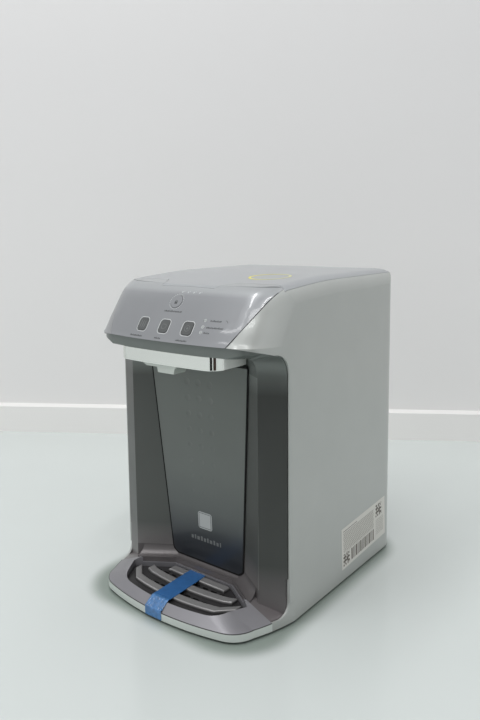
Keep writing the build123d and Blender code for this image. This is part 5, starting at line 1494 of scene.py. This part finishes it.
    def clear_rear(self, material: bpy.types.Material) -> None:
        """Leave out the rear of a wall's faces, so that the object shows from behind the wall.

        Args:
            material: the wall's material.
        """
        nodes, links = material.node_tree.nodes, material.node_tree.links
        face, clear, mix = (
            nodes.new(kind)
            for kind in ("ShaderNodeNewGeometry", "ShaderNodeBsdfTransparent", "ShaderNodeMixShader")
        )
        links.new(face.outputs["Backfacing"], mix.inputs["Fac"])
        links.new(nodes["Principled BSDF"].outputs["BSDF"], mix.inputs[1])
        links.new(clear.outputs["BSDF"], mix.inputs[2])
        links.new(mix.outputs["Shader"], nodes["Material Output"].inputs["Surface"])

    def shade_floor(self, material: bpy.types.Material) -> None:
        """Paint a soft shadow onto the glassy floor round the object's foot.

        Args:
            material: the floor's material.
        """
        nodes, links = material.node_tree.nodes, material.node_tree.links
        shader = nodes["Principled BSDF"]
        painted = shader.inputs["Base Color"].links[0].from_socket
        place = nodes.new("ShaderNodeTexCoord")
        spot: bpy.types.NodeSocket = place.outputs["Object"]
        for operation, amount in (
            ("ABSOLUTE", None), ("SUBTRACT", self.shade_core), ("MAXIMUM", (0.0, 0.0, 0.0)), ("LENGTH", None),
        ):
            step = nodes.new("ShaderNodeVectorMath")
            step.operation = operation
            links.new(spot, step.inputs[0])
            if amount is not None:
                step.inputs[1].default_value = amount
            spot = step.outputs["Value"] if operation == "LENGTH" else step.outputs["Vector"]
        share = nodes.new("ShaderNodeMapRange")
        share.interpolation_type = "SMOOTHERSTEP"
        share.inputs["From Min"].default_value = self.shade_span[0]
        share.inputs["From Max"].default_value = self.shade_span[1]
        share.inputs["To Min"].default_value = self.shade_share
        share.inputs["To Max"].default_value = 0.0
        links.new(spot, share.inputs["Value"])
        mix = nodes.new("ShaderNodeMix")
        mix.data_type = "RGBA"
        links.new(share.outputs["Result"], mix.inputs["Factor"])
        links.new(painted, mix.inputs["A"])
        mix.inputs["B"].default_value = (*linear(*self.shade_colour), 1)
        links.new(mix.outputs["Result"], shader.inputs["Base Color"])

    def lamp(
        self, name: str, start: Sequence[float], end: Sequence[float], wide: float, energy: float
    ) -> None:
        """Hang a tube lamp that faces the object.

        Args:
            name: name of the lamp.
            start: one end of the tube, in metres.
            end: its other end.
            wide: its width, in metres.
            energy: its power, in watts.
        """
        first, last = Vector(start), Vector(end)
        data = bpy.data.lights.new(name, "AREA")
        data.shape = "RECTANGLE"
        data.size = wide
        data.size_y = (last - first).length
        data.energy = energy
        piece = bpy.data.objects.new(name, data)
        bpy.context.scene.collection.objects.link(piece)
        middle = (first + last) / 2
        along = (last - first).normalized()
        behind = middle - Vector(self.aim)
        behind = (behind - along * behind.dot(along)).normalized()
        facing = Matrix((along.cross(behind), along, behind)).transposed().to_4x4()
        piece.matrix_world = Matrix.Translation(middle) @ facing

    def build_light(self) -> None:
        """Light the object softly from above and from the room."""
        scene = bpy.context.scene
        scene.view_settings.view_transform = "Standard"
        world = bpy.data.worlds.new("room")
        scene.world = world
        world.use_nodes = True
        background = world.node_tree.nodes["Background"]
        background.inputs["Color"].default_value = (*self.world_colour, 1)
        background.inputs["Strength"].default_value = self.world_strength
        for tube in self.tubes:
            self.lamp(*tube)
        LOG.info("lights hung")

    def build_figure(self) -> None:
        """Stand two dark upright screens behind the camera, for the plated parts to mirror."""
        turn = math.radians(self.turn)
        ahead = Vector((-math.sin(turn), math.cos(turn), 0))
        across = Vector((math.cos(turn), math.sin(turn), 0))
        middle = Vector((self.camera_place[0], self.camera_place[1], 0)) - ahead * self.screen_distance
        height = Vector((0, 0, self.screen_height))
        black = Finish("screen_black", (26, 24, 24), 0.9, mottle=0.1, mottle_size=120, grain_size=8, bump=0.2)
        brown = Finish("screen_brown", (70, 54, 48), 0.9, mottle=0.1, mottle_size=120, grain_size=8, bump=0.2)
        for name, left, right, cloth in (
            ("screen_left", -0.42, -0.12, black), ("screen_right", 0.0, 0.34, brown),
        ):
            corners = (
                middle + across * left,
                middle + across * right,
                middle + across * right + height,
                middle + across * left + height,
            )
            points = [corner / MM for corner in corners]
            piece = new_piece(name, points, [(0, 1, 2, 3)], [cloth], depth=0)
            piece.visible_camera = False
        LOG.info("screens set up")


def main() -> None:
    """Build the scene."""
    logging.basicConfig(level=logging.INFO)
    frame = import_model()
    studio = Studio()
    studio.build_camera()
    studio.build_room()
    studio.build_light()
    studio.build_figure()
    for finish, names in DRESSING.items():
        for name in names:
            dress(frame["nodes"][name], finish)
    skin = HeadSkin()
    PanelMarks(skin, frame["nodes"]).build()
    SideLabel().build()
    WrinkledTape().build()
    CoverPrint().build()
    CoverOutline(frame["nodes"]["front_cover"]).build()
    PanelSeam(skin).build()


if __name__ == "__main__":
    main()
